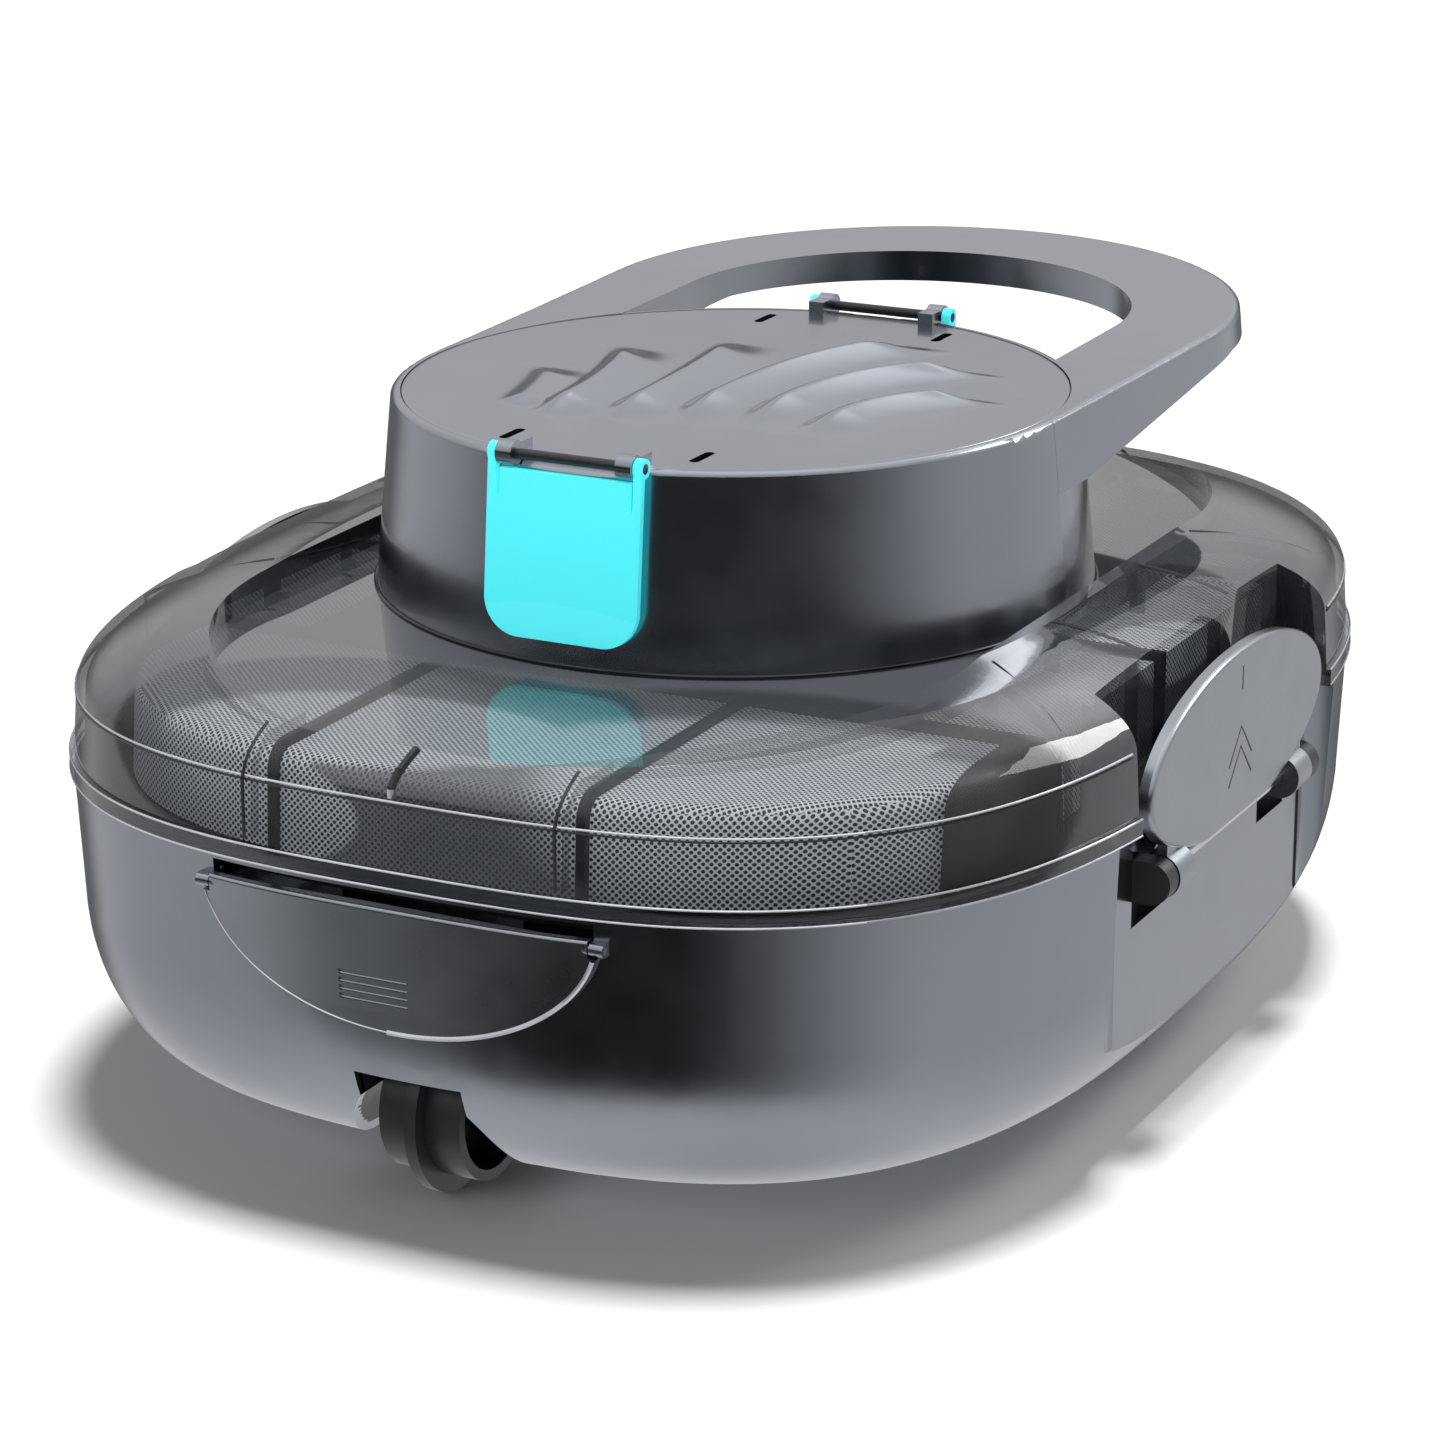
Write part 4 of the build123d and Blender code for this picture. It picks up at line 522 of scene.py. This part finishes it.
# Height, distance outside the cover's plan and finish of each rim line, in millimetres; the bright
# lines are painted highlights and rim_wall_shade is painted shade
RIMS = (
    ("rim_lip_foot", 96.3, 2.35, PAINTED_EDGE_HIGHLIGHT),
    ("rim_lip_top", 101.0, 2.25, PAINTED_EDGE_HIGHLIGHT),
    ("rim_wall_top", 119.7, 0.0, PAINTED_EDGE_HIGHLIGHT),
    ("rim_wall_shade", 118.7, 0.05, RIB_SHADE),
)
# Radius, height and number of steps of the line round the turret's foot, in millimetres
FOOT_RADIUS, FOOT_Z, FOOT_STEPS = 106.9, 131.3, 144
# Start and end in plan of each rib in one quarter of the cover, its number of points, and
# whether it runs on down the wall, in millimetres about the turret
RIBS = (
    ((47.3, 184), (47.3, 197.5), 8, True),
    ((115.088, 73.224), (145.032, 96.619), 12, True),
    ((114, 32), (143, 32), 8, False),
)
RIB_SINK = 0.5
RIB_FOOT_Z = 102
# Points of the index groove in plan, its radius and that of its end of painted highlight, in
# millimetres
INDEX_LINE = ((0.6, -187.0), (0.1, -190.5), (-0.6, -194.0), (-1.2, -197.6))
INDEX_LIFT = 0.1
INDEX_RADIUS = 1.3
INDEX_END_RADIUS = 1.0
INDEX_END_DROP = 2.4
# The drain flap's arc, in millimetres: its centre's height and its half sizes
FLAP_ARC_Z = 93
FLAP_ARC_HALF = (60.2, 37.2)
FLAP_ARC_POINTS = 60
FRONT_OF_FLAP = -0.4           # where the search for the flap's face starts, along Y
# Start and end angle round the arc, and radius, of each part of the flap's lip: a thin painted
# highlight on the left, a real lip with a painted highlight on the right
FLAP_RIMS = (
    ("flap_highlight_left", 188, 268, 0.22 * MM),
    ("flap_lip_right", 268, 350, 0.7 * MM),
)


def plan_share(x, y, grow=0.0):
    """Where a point lies in the cover's plan: 1 on its edge, less inside it."""
    half_x, half_y = COVER_HALF[0] + grow, COVER_HALF[1] + grow
    reach = abs(x / half_x) ** COVER_POWER + abs(y / half_y) ** COVER_POWER
    return reach ** (1 / COVER_POWER)


def cover_top(x, y):
    """Height of the cover's shoulder over a point in plan, in millimetres."""
    share = (min(plan_share(x, y), 1.0) - COVER_CREST) / (1 - COVER_CREST)
    return COVER_EDGE_Z + COVER_RISE * max(0.0, 1 - share ** 2) ** 0.5


def scene_point(x, y, z):
    """Point in the scene from millimetres about the turret."""
    return x * MM, (y + COVER_CENTRE_Y) * MM, z * MM


def tube(lines, radius):
    """Vertices and faces of round beads along lines of points."""
    vertices, faces = [], []
    for line in lines:
        line = [Vector(point) for point in line]
        for start, end in zip(line, line[1:]):
            along = end - start
            if along.length < SHORTEST:
                continue
            side = along.normalized().orthogonal().normalized() * radius
            over = along.normalized().cross(side)
            base = len(vertices)
            turns = [2 * pi * k / BEAD_SIDES for k in range(BEAD_SIDES)]
            for spot in (start, end):
                vertices += [spot + side * cos(turn) + over * sin(turn) for turn in turns]
            for i, j, far_j, far_i in loop_walls(BEAD_SIDES):
                faces.append((base + i, base + j, base + far_j, base + far_i))
    return vertices, faces


def bead(name, lines, radius, finish, body, slot="clear_smoke"):
    """Beads along lines as one piece with its own finish."""
    made = link(name, mesh_of(name, *tube(lines, radius), False), slot)
    made.data.materials.clear()
    made.data.materials.append(finish)
    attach(made, body)


def rim_lines():
    """Beads round the lip and the top of the cover's wall, broken by the notches: bright ones of
    painted highlight, and a dark one of painted shade just under the wall's top.
    """
    for name, z, grow, finish in RIMS:
        lines = []
        for end in (-1, 1):
            line = []
            for angle in np.linspace(0, pi, RIM_STEPS + 1):
                x, y = cos(angle), end * sin(angle)
                reach = 1 / plan_share(x, y, grow)
                if abs(reach * y) > NOTCH_HALF:
                    line.append(scene_point(reach * x, reach * y, z))
            lines.append(line)
        bead(name, lines, RIM_RADIUS, finish, "upper_unit")


def turret_foot():
    """Painted shade: a dark line where the turret stands on the cover."""
    angles = np.linspace(0, 2 * pi, FOOT_STEPS + 1)
    line = [scene_point(FOOT_RADIUS * cos(a), FOOT_RADIUS * sin(a), FOOT_Z) for a in angles]
    bead("turret_foot_line", [line], LINE_RADIUS, RIB_SHADE, "upper_unit", "dark_plastic")


def flap_rim():
    """Rolled lip on the face of the drain flap, round its arc and thicker on the right, in bright
    metal that paints a highlight along it.
    """
    flap = NODES["drain_flap"]
    undo = flap.matrix_world.inverted()
    for name, start, end, radius in FLAP_RIMS:
        line = []
        for angle in np.linspace(radians(start), radians(end), FLAP_ARC_POINTS):
            x = FLAP_ARC_HALF[0] * cos(angle) * MM
            z = (FLAP_ARC_Z + FLAP_ARC_HALF[1] * sin(angle)) * MM
            hit, spot, _, _ = flap.ray_cast(undo @ Vector((x, FRONT_OF_FLAP, z)), Vector((0, 1, 0)))
            if hit:
                line.append(flap.matrix_world @ spot)
        bead(name, [line], radius, PAINTED_EDGE_HIGHLIGHT, "drain_flap", "body_grey")


def cover_ribs():
    """Painted shade: a dark line along each stiffening rib, over the shoulder and down the wall."""
    lines = []
    for side in (-1, 1):
        for end in (-1, 1):
            for start, stop, points, down in RIBS:
                line = []
                for x, y in np.linspace(start, stop, points):
                    spot = (side * float(x), end * float(y))
                    line.append(scene_point(*spot, cover_top(*spot) - RIB_SINK))
                if down:
                    line.append((*line[-1][:2], RIB_FOOT_Z * MM))
                lines.append(line)
    bead("cover_ribs", lines, LINE_RADIUS, RIB_SHADE, "upper_unit")


def cover_index():
    """Index groove on the front shoulder, darkened with painted shade, with a painted highlight at
    its lower end.
    """
    line = [scene_point(x, y, cover_top(x, y) + INDEX_LIFT) for x, y in INDEX_LINE]
    bead("cover_index", [line], INDEX_RADIUS * MM, RIB_SHADE, "upper_unit")
    x, y, z = line[-1]
    drop = [(x, y, z), (x, y, z - INDEX_END_DROP * MM)]
    bead("cover_index_end", [drop], INDEX_END_RADIUS * MM, PAINTED_EDGE_HIGHLIGHT, "upper_unit")


rim_lines()
turret_foot()
flap_rim()
cover_ribs()
cover_index()


# ---- Latch marks --------------------------------------------------------------------------
MARK_DEPTH = 0.25 * MM
MARK_PROUD = 0.04 * MM
MARK_WIDTH = 0.8 * MM
MARK_RAISE = 2 * MM            # middle of the marks above the middle of the latch
LATCH_FACE_BACK = 3.1 * MM     # the knuckles stand this far out past the latch's face
# Strokes of the marks, in millimetres along the latch and up it
MARKS = (
    ((0, 22), (0, 15)),
    ((-9, -6), (0, 4), (9, -6)),
    ((-9, -12), (0, -2), (9, -12)),
)


def stroke(points, depths):
    """Flat bar along a line of (y, z) points, between two places along X."""
    left, right = [], []
    for i, (y, z) in enumerate(points):
        before, after = points[max(i - 1, 0)], points[min(i + 1, len(points) - 1)]
        dy, dz = after[0] - before[0], after[1] - before[1]
        aside = MARK_WIDTH / 2 / hypot(dy, dz)
        left.append((y - dz * aside, z + dy * aside))
        right.append((y + dz * aside, z - dy * aside))
    plan = left + right[::-1]
    count = len(plan)
    faces = []
    for i in range(len(points) - 1):
        quad = (i, i + 1, count - 2 - i, count - 1 - i)
        faces += [quad[::-1], tuple(count + corner for corner in quad)]
    return [(x, *spot) for x in depths for spot in plan], faces + loop_walls(count)


def latch_marks():
    """Index line and two upward chevrons on each latch, as thin dark inlays."""
    for name, side in (("latch_right", 1), ("latch_left", -1)):
        low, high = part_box(name)
        face = high.x - LATCH_FACE_BACK if side > 0 else low.x + LATCH_FACE_BACK
        depths = (face + side * (MARK_PROUD - MARK_DEPTH), face + side * MARK_PROUD)
        middle = (low + high) / 2
        vertices, faces = [], []
        for line in MARKS:
            points = [(middle.y + y * MM, middle.z + MARK_RAISE + z * MM) for y, z in line]
            corners, made = stroke(points, depths)
            offset = len(vertices)
            vertices += corners
            faces += [tuple(offset + i for i in face_corners) for face_corners in made]
        marks = name + "_marks"
        piece = link(marks, mesh_of(marks, vertices, faces, False), "dark_plastic")
        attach(piece, name)


latch_marks()


# ---- Studio -------------------------------------------------------------------------------
# Cards round the studio: heading, where each is full and where it is gone to its left and to
# its right, height and the same up and down, all in degrees, and the share of light on the card
CARDS = (
    (10, (36, 100), (36, 100), 2, (8, 18), 0.02),
    (-9, (22, 34), (14, 100), -28, (10, 22), 0.02),
    (-150, (24, 46), (24, 46), -9, (13, 24), 0.22),
    (178, (6, 24), (6, 24), 40, (6, 14), 2.2),
)
# Brightness of the mirrored studio at each height, in degrees above the horizon
WALL_LEVELS = (
    (-90, 0.42), (-60, 0.5), (-42, 0.42), (-30, 0.38), (-14, 0.38),
    (6, 0.36), (20, 0.44), (40, 0.5), (90, 0.95),
)
WALL_BLUE = 1.02               # how much bluer than grey the mirrored studio is
WALL_STRENGTH = 1.6
EVEN_STRENGTH = 0.16           # light of the studio on surfaces that don't mirror it
SKY_STRENGTH = 3.15
SKY_SPREAD = 12                # degrees
SKY_DIRECTION = (0.02, -0.17, -1)
# Name, place, size and power of each soft light, and whether gloss shows it
LIGHTS = (
    ("front", (-0.5, -1.6, 0.7), 1.2, 5, False),
    ("rim", (1.0, 1.3, 1.3), 0.8, 12, True),
)
LIGHTS_AIM = (0, 0, 0.1)
FLOOR_HALF = 8.0
FLOOR_COLOURS = ((0.9, 0.9, 0.9), (0.905, 0.905, 0.905))
# The camera stands before the front right corner, turned and tilted by these degrees
CAMERA_SPOT = (0.578519, -1.155827, 0.502357)
CAMERA_HEADING = 27.01
CAMERA_TILT = 18.0943
CAMERA_ROLL = -0.2438
CAMERA_LENS = 111.85           # millimetres, on a sensor 36 wide


def card(tree, heading, level, centre, left_width, right_width, middle, half_height, share):
    """Brightness that one card leaves in each direction: its share on it, 1 away from it."""
    turned = calc(tree, "SUBTRACT", heading, radians(centre))
    across = calc(tree, "ARCCOSINE", calc(tree, "COSINE", turned))
    above = calc(tree, "ABSOLUTE", calc(tree, "SUBTRACT", level, radians(middle)))
    on_right = calc(tree, "GREATER_THAN", calc(tree, "SINE", turned), 0.0)
    on_left = calc(tree, "SUBTRACT", 1.0, on_right)

    def fade(angle, limits):
        """Fall from 1 to 0 between two angles."""
        return span(tree, angle, *map(radians, limits), 1.0, 0.0, True)

    left = calc(tree, "MULTIPLY", on_left, fade(across, left_width))
    right = calc(tree, "MULTIPLY", on_right, fade(across, right_width))
    wide = calc(tree, "ADD", left, right)
    cover = calc(tree, "MULTIPLY", wide, fade(above, half_height))
    return span(tree, cover, 0, 1, 1.0, share)


def studio_world():
    """Even white light on matt surfaces, and a graded studio for glossy ones to mirror."""
    world = bpy.data.worlds.new("studio")
    bpy.context.scene.world = world
    world.use_nodes = True
    tree = world.node_tree
    axes = axes_of(tree, tree.nodes.new("ShaderNodeTexCoord").outputs["Generated"])
    level = calc(tree, "ARCSINE", axes["Z"])
    heading = calc(tree, "ARCTAN2", axes["X"], calc(tree, "MULTIPLY", axes["Y"], -1.0))
    strength = WALL_STRENGTH
    for values in CARDS:
        strength = calc(tree, "MULTIPLY", card(tree, heading, level, *values), strength)

    ramp = tree.nodes.new("ShaderNodeValToRGB")
    elements = ramp.color_ramp.elements
    while len(elements) < len(WALL_LEVELS):
        elements.new(0.5)
    for element, (angle, value) in zip(elements, WALL_LEVELS):
        element.position = (angle + 90) / 180
        element.color = (value, value, value * WALL_BLUE, 1)
    tree.links.new(span(tree, level, -pi / 2, pi / 2), ramp.inputs["Fac"])

    mirrored = tree.nodes.new("ShaderNodeBackground")
    tree.links.new(ramp.outputs["Color"], mirrored.inputs["Color"])
    tree.links.new(strength, mirrored.inputs["Strength"])
    even = tree.nodes["Background"]
    even.inputs["Color"].default_value = (1, 1, 1, 1)
    even.inputs["Strength"].default_value = EVEN_STRENGTH
    mix = tree.nodes.new("ShaderNodeMixShader")
    sources = (
        tree.nodes.new("ShaderNodeLightPath").outputs["Is Glossy Ray"],
        even.outputs["Background"],
        mirrored.outputs["Background"],
    )
    for socket, source in zip(mix.inputs, sources):
        tree.links.new(source, socket)
    tree.links.new(mix.outputs["Shader"], tree.nodes["World Output"].inputs["Surface"])


def soft_lights():
    """Broad light from above and behind, and soft lights on the front and the right."""
    sky = bpy.data.lights.new("sky", "SUN")
    sky.energy = SKY_STRENGTH
    sky.angle = radians(SKY_SPREAD)
    lamp = add("sky", sky)
    lamp.rotation_euler = Vector(SKY_DIRECTION).to_track_quat("-Z", "Y").to_euler()
    lamp.visible_glossy = False
    for name, spot, size, power, in_gloss in LIGHTS:
        light = bpy.data.lights.new(name, "AREA")
        light.size = size
        light.energy = power
        lamp = add(name, light)
        lamp.location = spot
        aim = Vector(LIGHTS_AIM) - Vector(spot)
        lamp.rotation_euler = aim.to_track_quat("-Z", "Y").to_euler()
        lamp.visible_glossy = in_gloss


def pale_floor():
    """Plain pale floor, which glossy surfaces look past to the graded studio."""
    made, tree, shader = material("floor")
    blend_colours(tree, noise(tree, 3), shader.inputs["Base Color"], *FLOOR_COLOURS)
    uneven_gloss(tree, shader, noise(tree, 20), (0.9, 1.0))
    corners = ((-1, -1), (1, -1), (1, 1), (-1, 1))
    vertices = [(x * FLOOR_HALF, y * FLOOR_HALF, 0) for x, y in corners]
    mesh = mesh_of("floor", vertices, [(0, 1, 2, 3)], False)
    mesh.materials.append(made)
    floor = add("floor", mesh)
    floor.visible_glossy = False


def reference_camera():
    """Camera low in front of the right corner, looking along the body."""
    camera = add("camera", bpy.data.cameras.new("camera"))
    turn = (
        Matrix.Rotation(radians(CAMERA_HEADING), 4, "Z")
        @ Matrix.Rotation(radians(90 - CAMERA_TILT), 4, "X")
        @ Matrix.Rotation(radians(CAMERA_ROLL), 4, "Z")
    )
    camera.matrix_world = Matrix.Translation(CAMERA_SPOT) @ turn
    camera.data.lens = CAMERA_LENS
    camera.data.sensor_width = 36
    bpy.context.scene.camera = camera


studio_world()
soft_lights()
pale_floor()
reference_camera()
bpy.context.scene.view_settings.view_transform = "Standard"
